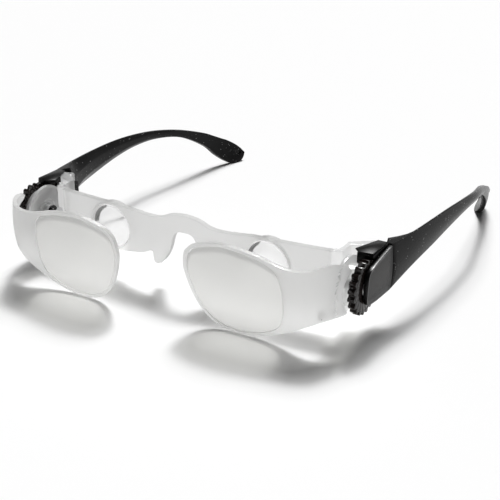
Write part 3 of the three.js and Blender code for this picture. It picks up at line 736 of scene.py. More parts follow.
@dataclass
class InnerFrame:
    """The frosted moulding of bridge, nose pads and lens seats, with clear outer ends, and the eye lenses."""

    voxel: float = 0.3
    smoothing: int = 5
    smooth_share: float = 0.5
    smooth_below: float = 180
    polished_from: float = 59
    lens_radius: float = 8.6
    lens_edge: float = 3.0
    lens_centre: float = 1.4
    face_share: float = 0.44
    land_share: float = 0.97
    # The arc of painted shade on each eye lens: the angles it spans, the reach share it starts from, and how
    # far back it starts.
    painted_shade_turn: Pair = (math.radians(95), math.radians(178))
    painted_shade_share: float = 0.86
    painted_shade_behind: float = 1.2
    lens_mesh: tuple[int, int] = (72, 40)
    lens_smooth_below: float = 50
    edge_power: float = 0.5

    def build(self) -> None:
        """Builds the moulding and both eye lenses."""
        self.build_moulding()
        for side in Side:
            self.build_lens(side)

    def build_moulding(self) -> None:
        """Rounds every edge of the moulding by remeshing and smoothing it."""
        piece = copy_solid("inner_frame", "frame_moulding")
        modify(piece, "REMESH", mode="VOXEL", voxel_size=self.voxel * MM, adaptivity=0.0)
        modify(piece, "SMOOTH", factor=self.smooth_share, iterations=self.smoothing)
        shade(piece, self.smooth_below)
        dress_piece(piece, FROSTED, CLOUDED, lambda face: abs(face.center.x) > self.polished_from * MM)
        hand_in(piece, "frame", FROSTED, "inner_frame")

    def build_lens(self, side: Side) -> None:
        """Builds an eye lens, hollow on both faces, with an arc of painted shade, in black, behind the rim of
        its seat.

        Args:
            side: The half of the glasses.
        """
        low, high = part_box(side.named("ocular_lens"))
        middle = (low + high) / 2
        sag = (self.lens_edge - self.lens_centre) / 2

        def place(angle: float, share: float) -> Vector:
            """Returns a place on the lens's skin: front hollow, rounded edge or back hollow."""
            reach, back = lens_skin(share, self.face_share, self.land_share, self.edge_power)
            hollow = sag * (1 - min(reach / self.land_share, 1) ** 2)
            depth = hollow + back * (self.lens_edge - 2 * hollow)
            radius = self.lens_radius * reach
            return Vector((middle.x + radius * math.cos(angle) * MM, low.y + depth * MM,
                           middle.z + radius * math.sin(angle) * MM))

        def is_painted_shade(face: bpy.types.MeshPolygon) -> bool:
            """Says whether a face belongs to the arc of painted shade."""
            across, up = face.center.x - middle.x, face.center.z - middle.z
            return (self.painted_shade_turn[0] < math.atan2(up, across) < self.painted_shade_turn[1]
                    and math.hypot(across, up) > self.lens_radius * self.painted_shade_share * MM
                    and face.center.y > low.y + self.painted_shade_behind * MM)

        piece = add_ball(side.named("eye_lens"), *self.lens_mesh, place)
        # Black faces at the upper left of the edge are painted shade, where the seat shades the rim as seen
        # through the lens.
        dress_piece(piece, EYE_GLASS, SATIN_BLACK, is_painted_shade)
        shade(piece, self.lens_smooth_below)
        hand_in(piece, "frame", EYE_GLASS, side.named("ocular_lens"))


@dataclass
class FrontCarrier:
    """The shell that wraps round one side, its big front lens and its slide tongue."""

    side: Side
    nasal: float = 12.8
    front: float = 36.8
    run: float = 42.4
    span: float = 58.1
    front_turn: float = math.radians(3)
    corner_radius: float = 20
    corner_turn: float = math.radians(74)
    barrel: float = 0.024
    barrel_height: float = 18
    thickness: float = 1.6
    foot: float = 0.4
    height: float = 35.3
    lean: float = 0.15
    lean_height: float = 22
    lens_half: float = 20.6
    lens_middle: float = 0.32
    border_power: float = 2.5
    border_blend: float = 14
    rim: float = 1.12
    lip: float = 0.3
    gap: float = 0.12
    bulge: float = 1.5
    hollow: float = 0.6
    sink: float = 0.1
    lens_edge: float = 1.9
    face_share: float = 0.46
    land_share: float = 0.985
    tongue_span: Pair = (63.3, 65.1)
    tongue_run: Pair = (-31.5, -9.2)
    tongue_rise: Pair = (12.8, 16.6)
    tongue_rounding: float = 0.35
    cut_middle: Pair = (-16, 21)
    cut_radius: float = 11.5
    cut_rise: float = 8.8
    clear_from: float = 68.8
    rear: float = -21.6
    rear_share: float = 0.14
    top_shares: tuple[Pair, ...] = (
        (0, 0.66), (0.012, 0.79), (0.033, 0.857), (0.08, 0.915), (0.148, 0.956), (0.21, 0.981), (0.285, 1),
        (0.36, 0.993), (0.47, 0.968), (0.54, 0.942), (0.62, 0.901), (0.719, 0.872), (0.845, 0.878),
        (0.938, 0.91), (1, 0.913), (1.083, 0.82))
    low_shares: tuple[Pair, ...] = (
        (0.01, 0.541), (0.038, 0.386), (0.084, 0.23), (0.138, 0.121), (0.2, 0.052), (0.27, 0.012), (0.348, 0),
        (0.42, 0.005), (0.5, 0.033), (0.59, 0.084), (0.68, 0.149), (0.75, 0.207), (0.823, 0.268),
        (0.928, 0.345), (1.083, 0.43))
    path_steps: int = 600
    line_steps: int = 400
    edge_steps: int = 80
    outline_count: int = 264
    clearance: float = 0.05
    sheet_rows: int = 22
    smooth_below: float = 60
    lip_angle: float = math.radians(50)
    lens_mesh: tuple[int, int] = (128, 56)
    lens_smooth_below: float = 40
    edge_power: float = 0.6
    pin_rounding: float = 0.1
    path: list[tuple[float, float, float, float]] = field(default_factory=list)
    focus: float = 0.0

    def __post_init__(self) -> None:
        """Draws the path that the shell's outer face follows, and reads how far the carrier stands out."""
        steps = self.path_steps
        total = self.run + self.corner_radius * self.corner_turn
        x, y = self.nasal, -self.front
        for i in range(steps + 1):
            s = total * i / steps
            heading = (self.front_turn * min(s, self.run) / self.run
                       + max(0, s - self.run) / self.corner_radius)
            self.path.append((s, x, y, heading))
            x += math.cos(heading) * total / steps
            y += math.sin(heading) * total / steps
        self.focus = -self.front - (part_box(self.side.named("front_carrier"))[0].y - SEAM_Y) / MM

    @property
    def middle(self) -> Pair:
        """The lens's middle, unrolled: length along the path, and height."""
        return self.lens_middle * self.span, self.foot + self.height / 2

    def along(self, s: float) -> tuple[float, float, float]:
        """Reads the path.

        Args:
            s: Length along it.

        Returns:
            Its x, y and heading there.
        """
        at = min(max(s / self.path[-1][0], 0), 1) * (len(self.path) - 1)
        k = min(int(at), len(self.path) - 2)
        t = at - k
        return tuple(p + (q - p) * t for p, q in zip(self.path[k][1:], self.path[k + 1][1:]))

    def place(self, s: float, z: float, depth: float) -> Vector:
        """Finds a place in the shell.

        Args:
            s: Length along the path.
            z: Height over the floor.
            depth: How far behind the outer face.

        Returns:
            The place, in metres.
        """
        x, y, heading = self.along(s)
        leant = self.lean * (self.lean_height - z) * math.cos(heading)
        round_in = self.barrel * (z - self.barrel_height) ** 2 * math.sin(heading) ** 2
        inward = round_in + math.sin(heading) * depth
        return spot(x - inward, y - self.focus + leant + math.cos(heading) * depth, z, self.side)

    def place_round(self, angle: float, reach: float, depth: float) -> Vector:
        """Returns the place at an angle and reach from the lens's middle, and a depth behind the face."""
        return self.place(self.middle[0] + reach * math.cos(angle), self.middle[1] + reach * math.sin(angle),
                          depth)

    def length_at(self, x: float) -> float:
        """Finds where the path reaches a place outwards.

        Args:
            x: The place, in millimetres from the middle of the bridge.

        Returns:
            The length along the path.
        """
        for (s0, x0, *_), (s1, x1, *_) in zip(self.path, self.path[1:]):
            if x1 >= x:
                return s0 + (s1 - s0) * (x - x0) / max(x1 - x0, TINY)
        return self.path[-1][0]

    def end_length(self, z: float) -> float:
        """Finds how far back the wing reaches, before its round cut-out.

        Args:
            z: Height over the floor.

        Returns:
            The length along the path.
        """
        above = z - self.cut_middle[1]
        inside = 1 - (above / (self.cut_rise if above > 0 else self.cut_radius)) ** 2
        limit = self.cut_middle[0] - self.cut_radius * math.sqrt(inside) if inside > 0 else self.rear
        for s, _, y, _ in self.path:
            if y >= min(limit, self.rear):
                return s
        return self.path[-1][0]

    def outline(self) -> list[Pair]:
        """Returns the shell's outline, unrolled: length along the path, and height."""
        count, edge_steps = self.outline_count, self.edge_steps
        line = smooth_line([*reversed(self.top_shares), *self.low_shares], self.line_steps)
        line = [(self.nasal + across * self.span, self.foot + up * self.height) for across, up in line]
        furthest = self.path[-1][1]
        line = [(self.length_at(max(x, self.nasal)), z) for x, z in line if x < furthest]
        top, low = line[0][1], line[-1][1]
        heights = [low + (top - low) * i / edge_steps for i in range(edge_steps + 1)]
        edge = [(self.end_length(z), z) for z in heights]
        line = [p for p in line if p[0] < self.end_length(p[1]) - self.clearance]
        rear_count = int(count * self.rear_share)
        return (even_line(edge, rear_count)[:-1]
                + even_line([edge[-1], *line, edge[0]], count - rear_count)[:-1])

    def lens_reach(self, outline: list[Pair]) -> list[tuple[float, float, float]]:
        """Finds the lens window's reach towards each point of the outline.

        Args:
            outline: The shell's outline.

        Returns:
            For each point its angle, the reach of the window and the reach of the outline.
        """
        power, blend = self.border_power, self.border_blend
        found = []
        for s, z in outline:
            across, up = s - self.middle[0], z - self.middle[1]
            reach, angle = math.hypot(across, up), math.atan2(up, across)
            rounded = abs(math.cos(angle)) ** power + abs(math.sin(angle)) ** power
            round_reach = self.lens_half * rounded ** (-1 / power)
            rim_reach = reach - self.rim
            found.append((angle, (round_reach ** -blend + rim_reach ** -blend) ** (-1 / blend), reach))
        return found

    def build(self) -> None:
        """Builds the shell, the lens and the pin."""
        outline = self.outline()
        reaches = self.lens_reach(outline)
        self.build_shell(outline, reaches)
        self.build_lens(reaches)
        hand_in_copy(self.side, "follower_pin", "cam_pin", self.side.body("carrier"), STEEL,
                     self.pin_rounding)

    def build_shell(self, outline: list[Pair], reaches: list[tuple[float, float, float]]) -> None:
        """Lays a sheet between window and outline, thickens it, rounds its lips and adds the slide tongue.

        Args:
            outline: The shell's outline.
            reaches: The angle, window reach and outline reach of each of its points.
        """
        count = len(outline)

        def lay(around: float, out: float) -> Vector:
            """Returns the place at a share round the window and a share from window to outline."""
            k = round(around * count) % count
            angle, inner, outer = reaches[k]
            reach = inner + (outer - inner) * out
            return self.place_round(angle, reach, 0)

        shell = add_grid(self.side.named("carrier_shell"), count, self.sheet_rows, lay)
        edit(shell, "VERT")
        bpy.ops.mesh.remove_doubles(threshold=WELD / 2 * MM)
        bpy.ops.mesh.normals_make_consistent(inside=False)
        leave_edit()
        if sum(face.normal.y * face.area for face in shell.data.polygons) > 0:
            edit(shell, "FACE")
            bpy.ops.mesh.flip_normals()
            leave_edit()
        modify(shell, "SOLIDIFY", thickness=self.thickness * MM, offset=-1, use_even_offset=True)
        modify(shell, "BEVEL", width=self.lip * MM, segments=3, limit_method="ANGLE",
               angle_limit=self.lip_angle)
        shade(shell, self.smooth_below)
        dress_piece(shell, CARRIER, CLOUDED, lambda face: abs(face.center.x) > self.clear_from * MM)
        join(shell, self.build_tongue())
        hand_in(shell, self.side.body("carrier"), CARRIER, self.side.named("front_carrier"))

    def build_tongue(self) -> Piece:
        """Builds the tongue that slides in the frame's guide, and returns it."""
        front, back = (y - self.focus for y in self.tongue_run)
        low, high = zip(self.tongue_span, (front, back), self.tongue_rise)
        tongue = add_block("slide_tongue", low, high, self.side)
        soften(tongue, self.tongue_rounding)
        tongue.data.materials.append(CLOUDED.material())
        return tongue

    def build_lens(self, reaches: list[tuple[float, float, float]]) -> None:
        """Builds the front lens: domed outside, a little domed inside, with a fine rounded edge.

        Args:
            reaches: The angle, window reach and outline reach of each point of the shell's outline.
        """
        whole = 2 * math.pi
        table = sorted((angle, inner - self.gap) for angle, inner, _ in reaches)
        table = [(table[-1][0] - whole, table[-1][1]), *table, (table[0][0] + whole, table[0][1])]

        def reach_at(angle: float) -> float:
            """Returns the window's reach at an angle."""
            for (a0, r0), (a1, r1) in zip(table, table[1:]):
                if a0 <= angle <= a1:
                    return r0 + (r1 - r0) * (angle - a0) / max(a1 - a0, TINY)
            return table[0][1]

        def lay(angle: float, share: float) -> Vector:
            """Returns a place on the lens's skin."""
            reach, turn = lens_skin(share, self.face_share, self.land_share, self.edge_power)
            depth = self.sink + (self.lens_edge - self.sink) * turn
            if turn in (0, 1):
                depth += (self.hollow if turn else -self.bulge) * (1 - reach ** 2)
            return self.place_round(angle, reach_at(angle) * reach, depth)

        lens = add_ball(self.side.named("front_lens"), *self.lens_mesh, lay)
        shade(lens, self.lens_smooth_below)
        hand_in(lens, self.side.body("carrier"), LENS, self.side.named("objective_lens"))


@dataclass
class FocusDrive:
    """One side's grooved drum, ribbed wheel, end cap, cover and small parts."""

    side: Side
    axle: Pair = (-17, 21)
    wheel_span: Pair = (71.25, 73.85)
    wheel_radius: float = 9.8
    wheel_root: float = 8.75
    ribs: int = 20
    rib_shares: tuple[float, ...] = (0, 0.35, 0.9, 1, 1, 0.9, 0.35, 0)
    bore: float = 3.1
    disc_span: Pair = (73.25, 73.97)
    disc_radius: float = 8.4
    dish_steps: tuple[Pair, ...] = ((0.9, -0.45), (2.2, 0.25))
    cover_span: Pair = (74.15, 75.35)
    cover_front: float = 20.4
    cover_low: float = 13.8
    cover_height: float = 17.4
    crown: float = 0.6
    cover_bands: int = 12
    border: float = 1.15
    border_slope: float = 0.25
    recess: float = 0.45
    cover_shares: tuple[Pair, ...] = (
        (0, 0.974), (0.35, 0.915), (0.68, 0.855), (0.85, 0.8), (0.93, 0.72), (0.97, 0.58), (0.99, 0.385),
        (0.975, 0.19), (0.88, 0.075), (0.6, 0.025), (0.3, 0.01), (0, 0))
    ridges: tuple[Pair, ...] = ((9.75, 0.3), (4.5, 0.45), (3.5, 0.4))
    ridge_x: float = 66.0
    lid: tuple[Pair, ...] = ((66.2, -10.9), (70, -0.4), (73.8, -0.4), (73.8, -12.5), (68.6, -13.2))
    lid_span: Pair = (31.35, 31.95)
    overrun: float = 2
    least_outward: float = 0.9
    rib_rounding: float = 0.16
    disc_rounding: float = 0.14
    cover_rounding: float = 0.2
    drum_rounding: float = 0.16
    cap_rounding: float = 0.4
    lid_rounding: float = 0.25
    wheel_smooth_below: float = 35
    cover_steps: tuple[int, int] = (90, 60)
    cover_weld: float = 0.05

    def build(self) -> None:
        """Builds every piece of the drive."""
        self.build_wheel()
        self.build_cover()
        self.build_drum()
        self.build_cap()
        self.build_copies()

    def build_wheel(self) -> None:
        """Builds the thumbwheel: a ribbed rim, and a smooth dished disc on its outer face."""
        side, per_rib = self.side, len(self.rib_shares)
        wheel = add_cylinder(side.named("ribbed_wheel"), self.wheel_root, self.wheel_span, self.axle, side,
                             sides=self.ribs * per_rib)
        hub = spot(self.wheel_span[0], *self.axle, side)
        pitch = 2 * math.pi / self.ribs

        def rib_share(vertex: bmesh.types.BMVert) -> float:
            """Returns how high on a rib a point lies, as a share of the rib's height."""
            turn = math.atan2(vertex.co.z - hub.z, vertex.co.y - hub.y) % pitch / pitch
            return self.rib_shares[int(turn * per_rib + 0.5) % per_rib]

        for share in sorted(set(self.rib_shares) - {0}, reverse=True):
            edit(wheel, "VERT", lambda vertex: rib_share(vertex) == share)
            grow = 1 + (self.wheel_radius / self.wheel_root - 1) * share
            bpy.ops.transform.resize(value=(1, grow, grow), center_override=hub)
            leave_edit()
        soften(wheel, self.rib_rounding, angle=50)
        disc = add_cylinder("wheel_disc", self.disc_radius, self.disc_span, self.axle, side, sides=72)
        edit(disc, "FACE", self.faces_out)
        for inset, outwards in self.dish_steps:
            bpy.ops.mesh.inset(thickness=inset * MM)
            bpy.ops.transform.translate(value=(outwards * MM * side.value, 0, 0))
        leave_edit()
        soften(disc, self.disc_rounding, angle=25)
        join(wheel, disc)
        bore_span = (self.wheel_span[0] - self.overrun, self.wheel_span[1] + self.overrun)
        cut(wheel, add_cylinder("wheel_bore", self.bore, bore_span, self.axle, side))
        shade(wheel, self.wheel_smooth_below)
        hand_in(wheel, side.body("wheel"), WHEEL_BLACK, side.named("thumbwheel"))

    def faces_out(self, face: bmesh.types.BMFace) -> bool:
        """Says whether a face looks away from the head."""
        return face.normal.x * self.side.value > self.least_outward

    def cover_outline(self) -> list[Pair]:
        """Returns the side cover's outline: millimetres behind the seam, and over the floor."""
        corners = [(-along * self.cover_front, self.cover_low + up * self.cover_height)
                   for along, up in self.cover_shares]
        drawn, spaced = self.cover_steps
        line = even_line(smooth_line(corners, drawn), spaced)
        return [line[0], *line[2:-2], line[-1]]  # an end edge is longer than the border is wide

    def build_cover(self) -> None:
        """Builds the side cover: a crowned plate with a raised border round a sunk panel."""
        side, outward = self.side, self.side.value
        outline = [spot(self.cover_span[0], y, z, side) for y, z in self.cover_outline()]
        thick = self.cover_span[1] - self.cover_span[0]
        cover = add_plate(side.named("cover_plate"), outline, Vector((thick * MM * outward, 0, 0)))
        edit(cover, "FACE", self.faces_out)
        bpy.ops.mesh.inset(thickness=self.border * MM)
        bpy.ops.transform.translate(value=(-self.recess * MM * outward, 0, 0))
        bpy.ops.mesh.inset(thickness=self.border_slope * MM)
        leave_edit()
        dress_piece(cover, SATIN_BLACK, COVER_BLACK, lambda face: face.select)
        for i in range(1, self.cover_bands):
            height = (self.cover_low + self.cover_height * i / self.cover_bands) * MM
            edit(cover, "FACE")
            bpy.ops.mesh.bisect(plane_co=(0, 0, height), plane_no=(0, 0, 1))
            leave_edit()
        edit(cover, "VERT")
        bpy.ops.mesh.remove_doubles(threshold=self.cover_weld * MM)
        leave_edit()
        half = self.cover_height / 2 * MM
        for vertex in cover.data.vertices:
            if abs(vertex.co.x) > (self.cover_span[0] + thick / 4) * MM:
                rise = (vertex.co.z - self.cover_low * MM - half) / half
                vertex.co.x += self.crown * MM * outward * (1 - min(rise ** 2, 1))
        soften(cover, self.cover_rounding, segments=3, angle=32)
        hand_in(cover, "frame", COVER_BLACK, side.named("side_cover"))

    def build_drum(self) -> None:
        """Builds the grooved drum, with ridges round the inner face of its flange."""
        side = self.side
        drum = copy_solid(side.named("cam_drum"), side.named("grooved_drum"))
        soften(drum, self.drum_rounding)
        rings = [add_ring("drum_ridge", radius, width, (self.ridge_x, *self.axle), side)
                 for radius, width in self.ridges]
        join(drum, *rings)
        hand_in(drum, side.body("wheel"), CLOUDED, side.named("cam_drum"))

    def build_cap(self) -> None:
        """Builds the end cap, with the thin lid that reaches over the frame's end."""
        side = self.side
        cap = copy_solid(side.named("end_cap"), side.named("cap_block"))
        soften(cap, self.cap_rounding)
        low, high = self.lid_span
        lid = add_plate("cap_lid", [spot(x, y, low, side) for x, y in self.lid],
                        Vector((0, 0, (high - low) * MM)))
        soften(lid, self.lid_rounding)
        join(cap, lid)
        hand_in(cap, "frame", GLOSS_BLACK, side.named("end_cap"))

    def build_copies(self) -> None:
        """Rounds the small pieces whose solids already have every form."""
        for node, stem, finish, width in (
                ("wheel_axle", "axle_rod", SATIN_BLACK, 0.1), ("axle_clip", "clip_ring", STEEL, 0.06),
                ("spring_washer", "washer_ring", SATIN_BLACK, 0.06),
                ("cover_screw", "cover_fixing", STEEL, 0.1), ("cap_screw", "cap_fixing", STEEL, 0.1),
                ("hinge_screw", "hinge_fixing", STEEL, 0.1)):
            hand_in_copy(self.side, node, stem, "frame", finish, width)


@dataclass
class TempleArm:
    """One curved temple, crowned outside, bevelled thin inside, with a leaning, dimpled tip."""

    side: Side
    length: float = 128
    half_span: float = 75.35
    seam_top: float = 31.2
    seam_low: float = 13.8
    thickness: float = 2.4
    tip_thickness: float = 2.6
    hinge_thickness: float = 6.9
    edge_least: float = 0.9
    bevel_share: float = 0.3
    hinge_share: float = 0.28
    thin_shares: Pair = (0.12, 0.78)
    crown: float = 0.9
    hinge: Pair = (70.4, 2.4)
    knuckle: float = 2.3
    pin_radius: float = 1.1
    gap: float = 0.3
    tongue_height: float = 6.6
    rounding: float = 0.25
    corner_reach: float = 0.4
    corner_share: float = 0.32
    crown_steps: int = 8
    crown_shares: Pair = (0.8, 0.85)
    dimple_middle: tuple[float, float, float] = (62.9, 124.2, 5.0)
    dimple_size: tuple[float, float, float] = (1.0, 2.3, 1.9)
    overrun: float = 3
    above: float = 40
    overlap: float = 0.05
    smooth_below: float = 42
    station_steps: int = 75
    knuckle_steps: int = 8
    knuckle_rounding: float = 0.2
    dimple_mesh: tuple[int, int] = (32, 16)
    station_shares: tuple[tuple[float, ...], ...] = (
        (0, 1, 1, 0.442, 0), (0.117, 1.028, 0.995, 0.583, 0), (0.234, 1.044, 0.992, 0.661, 0),
        (0.352, 1.053, 0.977, 0.727, 0), (0.469, 1.055, 0.934, 0.76, 0), (0.586, 1.046, 0.864, 0.74, 0),
        (0.703, 1.01, 0.759, 0.642, 0), (0.82, 0.972, 0.599, 0.39, 0.01), (0.875, 0.95, 0.494, 0.179, 0.042),
        (0.91, 0.934, 0.423, 0.054, 0.093), (0.936, 0.922, 0.372, 0, 0.128), (0.958, 0.909, 0.317, 0, 0.135),
        (0.978, 0.893, 0.256, 0.029, 0.109), (0.992, 0.879, 0.199, 0.064, 0.071),
        (0.998, 0.868, 0.157, 0.096, 0.038), (1, 0.863, 0.138, 0.115, 0.026))

    def corners(self, station: Sequence[float]) -> tuple[float, list[Pair]]:
        """Finds the six corners of a cross-section.

        Args:
            station: Shares along, out, up to the top edge, up to the lower edge, and of the lean.

        Returns:
            How far the section lies behind the seam, and its corners from outer top round by the inner side.
        """
        along, out, top, low, lean = station
        left = max(0.0, 1 - along / self.hinge_share)
        thin_from, thin_to = self.thin_shares
        thickness = (self.thickness + (self.hinge_thickness - self.thickness) * left ** 2
                     + (self.tip_thickness - self.thickness) * blend_step(thin_to, 1, along))
        thinned = blend_step(0, thin_from, along) - blend_step(thin_to / 2, thin_to, along)
        edge = thickness + (self.edge_least - thickness) * thinned
        outer = out * self.half_span
        low_z = max(low * self.seam_top, 0)
        top_z = max(top * self.seam_top, low_z + self.edge_least)
        bevel = (top_z - low_z) * self.bevel_share
        corners = [(outer, top_z), (outer - edge, top_z), (outer - thickness, top_z - bevel),
                   (outer - thickness, low_z + bevel), (outer - edge, low_z), (outer, low_z)]
        tilt = lean * self.seam_top / (top_z - low_z)
        return (max(along * self.length, self.gap + self.rounding),
                [(x - tilt * (top_z - z), z) for x, z in corners])

    def section(self, station: Sequence[float]) -> list[Vector]:
        """Draws a cross-section with rounded corners and a crowned outer face.

        Args:
            station: Shares along, out, up to the top edge, up to the lower edge, and of the lean.

        Returns:
            The points round it.
        """
        y, corners = self.corners(station)
        ring = []
        for k, here in enumerate(corners):
            ends = []
            for other in (corners[k - 1], corners[(k + 1) % len(corners)]):
                far = math.dist(here, other)
                step = min(self.corner_reach, far * self.corner_share)
                ends.append(tuple(h + (o - h) * step / max(far, TINY) for h, o in zip(here, other)))
            ring += [ends[0], tuple(h * 0.5 + (a + b) * 0.25 for h, a, b in zip(here, *ends)), ends[1]]
        start, end = ring[-1], ring[0]
        fade_span, fade_from = self.crown_shares
        faded = 1 - 0.5 * min(station[0] / fade_span, 1)
        crown = self.crown * faded * (1 - blend_step(fade_from, 1, station[0]))
        for i in range(1, self.crown_steps):
            t = i / self.crown_steps
            bulge = crown * (1 - (2 * t - 1) ** 2)
            ring.append((start[0] + (end[0] - start[0]) * t + bulge, start[1] + (end[1] - start[1]) * t))
        return [spot(x, y, z, self.side) for x, z in ring]

    def shrunk(self, ring: list[Vector], back: float) -> list[Vector]:
        """Returns an end's ring moved back and drawn in as far, so that the end is rounded."""
        middle, shift = sum(ring, Vector()) / len(ring), Vector((0, back * MM, 0))
        return [p + (middle - p).normalized() * abs(back) * MM + shift for p in ring]

    def build(self) -> None:
        """Builds the arm from a many-sided cylinder whose rings become the cross-sections."""
        stations = smooth_line(self.station_shares, self.station_steps)
        rings = [self.section(station) for station in stations]
        rings = [self.shrunk(rings[0], -self.rounding), *rings, self.shrunk(rings[-1], self.rounding)]
        sides = len(rings[0])
        select_nothing()
        bpy.ops.mesh.primitive_cylinder_add(vertices=sides, radius=1, depth=2)
        arm = name_new(self.side.named("temple_arm"))
        edit(arm, "EDGE", lambda edge: abs(edge.verts[0].co.z - edge.verts[1].co.z) > 1)
        bpy.ops.mesh.subdivide(number_cuts=len(rings) - 2)
        leave_edit()
        for vertex in arm.data.vertices:
            level = round((vertex.co.z + 1) / 2 * (len(rings) - 1))
            around = round(math.atan2(vertex.co.y, vertex.co.x) / (2 * math.pi) * sides) % sides
            vertex.co = rings[level][around]
        face_out(arm)
        self.cut_hinge(arm)
        self.sink_dimple(arm)
        shade(arm, self.smooth_below)
        arm = join(arm, self.build_tongue())
        hand_in(arm, self.side.body("temple"), TEMPLE_BLACK, self.side.named("temple"))

    def cut_hinge(self, arm: Piece) -> None:
        """Clears the room in which the frame's knuckles turn.

        Args:
            arm: The arm to cut.
        """
        side, (x, y), low = self.side, self.hinge, -self.overrun
        recess = self.knuckle + self.gap
        inner, front = x + recess - self.overlap, y - self.overlap
        cut(arm, add_cylinder("knuckle_room", recess, (low, self.above), self.hinge, side, upright=True),
            add_block("knuckle_way", (0, low, low), (inner, front, self.above), side))

    def sink_dimple(self, arm: Piece) -> None:
        """Sinks an oval dimple into the inner face of the tip.

        Args:
            arm: The arm to cut.
        """
        def lay(angle: float, share: float) -> Vector:
            """Returns a place on the oval cutter."""
            reach = math.sin(math.pi * share)
            shares = (math.cos(math.pi * share), reach * math.cos(angle), reach * math.sin(angle))
            place = (m + size * t for m, size, t in zip(self.dimple_middle, self.dimple_size, shares))
            return spot(*place, self.side)

        cut(arm, add_ball("dimple", *self.dimple_mesh, lay))

    def build_tongue(self) -> Piece:
        """Builds the middle knuckle, which turns between the frame's two, and returns it."""
        side, (x, y) = self.side, self.hinge
        low = (self.seam_top + self.seam_low - self.tongue_height) / 2
        r, reach = self.knuckle, self.knuckle + 2 * self.gap
        steps = self.knuckle_steps
        turns = [math.pi + math.pi / 2 * i / steps for i in range(steps + 1)]
        outline = [(x - r, y + reach), *((x + r * math.cos(a), y + r * math.sin(a)) for a in turns),
                   (x + reach, y - r), (x + reach, y + reach)]
        tongue = add_plate("temple_knuckle", [spot(px, py, low, side) for px, py in outline],
                           Vector((0, 0, self.tongue_height * MM)))
        cut(tongue, add_cylinder("pin_bore", self.pin_radius, (0, self.above), self.hinge, side,
                                 upright=True))
        soften(tongue, self.knuckle_rounding)
        return tongue


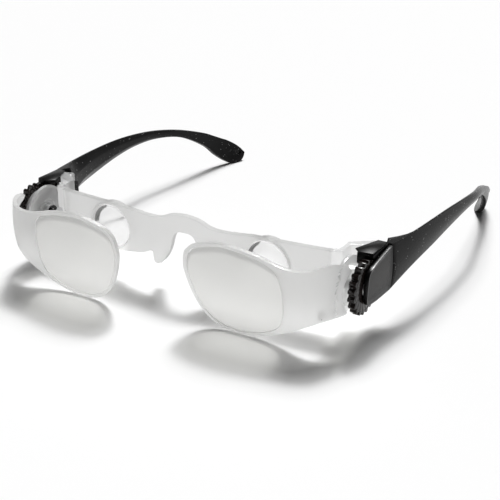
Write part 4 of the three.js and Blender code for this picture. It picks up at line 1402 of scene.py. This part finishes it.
@dataclass
class Studio:
    """A pale floor, soft light and the camera at the photograph's viewing angle."""

    turn: float = math.radians(30.73)
    dip: float = math.radians(23.70)
    eye: Vector = field(default_factory=lambda: spot(219.18, -339.17, 189.26))
    lens: float = 82.19
    fill: float = 0.03
    overhead: float = 0.1
    ahead: float = 0.25
    rise_span: Pair = (-0.02, 0.45)
    rear_span: Pair = (-0.2, 0.4)
    window: float = 2.0
    window_turn: Pair = (-0.52, 0.2)
    window_rise: Pair = (0.24, 0.16)
    glow: float = 0.55
    lamps: tuple[tuple, ...] = (  # name, heading and rise in degrees, strength, spread in degrees
        ("soft_sun", 107, 56, 2.49, 28), ("crisp_sun", 109, 57, 1.35, 9))
    floor_white: float = 0.94
    floor_rough: float = 0.8
    floor_gloss: float = 0.1
    floor_size: float = 6
    floor_drop: float = 0.02
    sensor: float = 36
    sight: Pair = (0.01, 20)

    def build(self) -> None:
        """Sets up floor, world, lamps and camera."""
        self.lay_floor()
        self.fill_world()
        self.hang_lamps()
        self.place_camera()
        bpy.context.scene.view_settings.view_transform = "Standard"

    def lay_floor(self) -> None:
        """Lays a white floor that keeps the shadow and is near white to the camera."""
        select_nothing()
        bpy.ops.mesh.primitive_plane_add(size=self.floor_size, location=(0, 0, -self.floor_drop * MM))
        floor = settle(name_new("studio_floor"))
        material = bpy.data.materials.new("studio_paper")
        material.use_nodes = True
        shader = material.node_tree.nodes["Principled BSDF"]
        shader.inputs["Base Color"].default_value = (self.floor_white,) * 3 + (1,)
        shader.inputs["Roughness"].default_value = self.floor_rough
        shader.inputs["Specular IOR Level"].default_value = self.floor_gloss
        floor.data.materials.append(material)

    def fill_world(self) -> None:
        """Makes a world that is white to the camera, and darker overhead and ahead where it is mirrored."""
        world = bpy.data.worlds.new("studio_air")
        bpy.context.scene.world = world
        world.use_nodes = True
        nodes = Nodes(world.node_tree)
        rays = nodes.add("ShaderNodeLightPath").outputs
        direction = nodes.add("ShaderNodeTexCoord").outputs["Generated"]
        x, y, z = nodes.add("ShaderNodeSeparateXYZ", {"Vector": direction}).outputs
        lower = nodes.remap(z, self.rise_span, 1.0, self.overhead)
        rear = nodes.remap(y, self.rear_span, self.ahead, 1.0)
        window = nodes.math("MULTIPLY", nodes.math("COMPARE", x, *self.window_turn),
                            nodes.math("COMPARE", z, *self.window_rise))
        window_ahead = nodes.math("MULTIPLY", window, nodes.math("LESS_THAN", y, 0.0))
        mirrored = nodes.math("MULTIPLY_ADD", window_ahead, self.window, nodes.math("MULTIPLY", lower, rear))
        strength = nodes.math("MULTIPLY_ADD", rays["Is Glossy Ray"],
                              nodes.math("SUBTRACT", mirrored, self.fill), self.fill)
        scattered = nodes.math("MULTIPLY", rays["Is Diffuse Ray"], 1 - self.glow)
        straight = nodes.math("SUBTRACT", rays["Is Transmission Ray"], scattered)
        seen = nodes.math("MAXIMUM", strength, nodes.math("MAXIMUM", rays["Is Camera Ray"], straight))
        back = world.node_tree.nodes["Background"]
        back.inputs["Color"].default_value = (1, 1, 1, 1)
        world.node_tree.links.new(seen, back.inputs["Strength"])

    def hang_lamps(self) -> None:
        """Hangs a soft sun and a harder one, both behind and over the glasses."""
        for name, heading, rise, strength, spread in self.lamps:
            lamp = bpy.data.lights.new(name, "SUN")
            lamp.energy = strength
            lamp.angle = math.radians(spread)
            holder = bpy.data.objects.new(name, lamp)
            bpy.context.scene.collection.objects.link(holder)
            h, r = math.radians(heading), math.radians(rise)
            toward = Vector((math.cos(h) * math.cos(r), math.sin(h) * math.cos(r), math.sin(r)))
            holder.rotation_euler = toward.to_track_quat("Z", "Y").to_euler()
            holder.location = toward

    def place_camera(self) -> None:
        """Places the camera where the photograph's was."""
        camera = bpy.data.cameras.new("photo_camera")
        camera.lens = self.lens
        camera.sensor_width = self.sensor
        camera.clip_start, camera.clip_end = self.sight
        holder = bpy.data.objects.new("photo_camera", camera)
        bpy.context.scene.collection.objects.link(holder)
        c, s = math.cos(self.turn), math.sin(self.turn)
        right = Vector((c, s, 0))
        back = Vector((s * math.cos(self.dip), -c * math.cos(self.dip), math.sin(self.dip)))
        up = back.cross(right)
        holder.matrix_world = Matrix.Translation(self.eye) @ Matrix((right, up, back)).transposed().to_4x4()
        bpy.context.scene.camera = holder


def main() -> None:
    """Builds the glasses and the studio."""
    logging.basicConfig(level=logging.INFO, format="%(name)s: %(message)s")
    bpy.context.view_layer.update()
    InnerFrame().build()
    for side in Side:
        FrontCarrier(side).build()
        FocusDrive(side).build()
        TempleArm(side).build()
    Studio().build()
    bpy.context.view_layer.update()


if __name__ == "__main__":
    main()
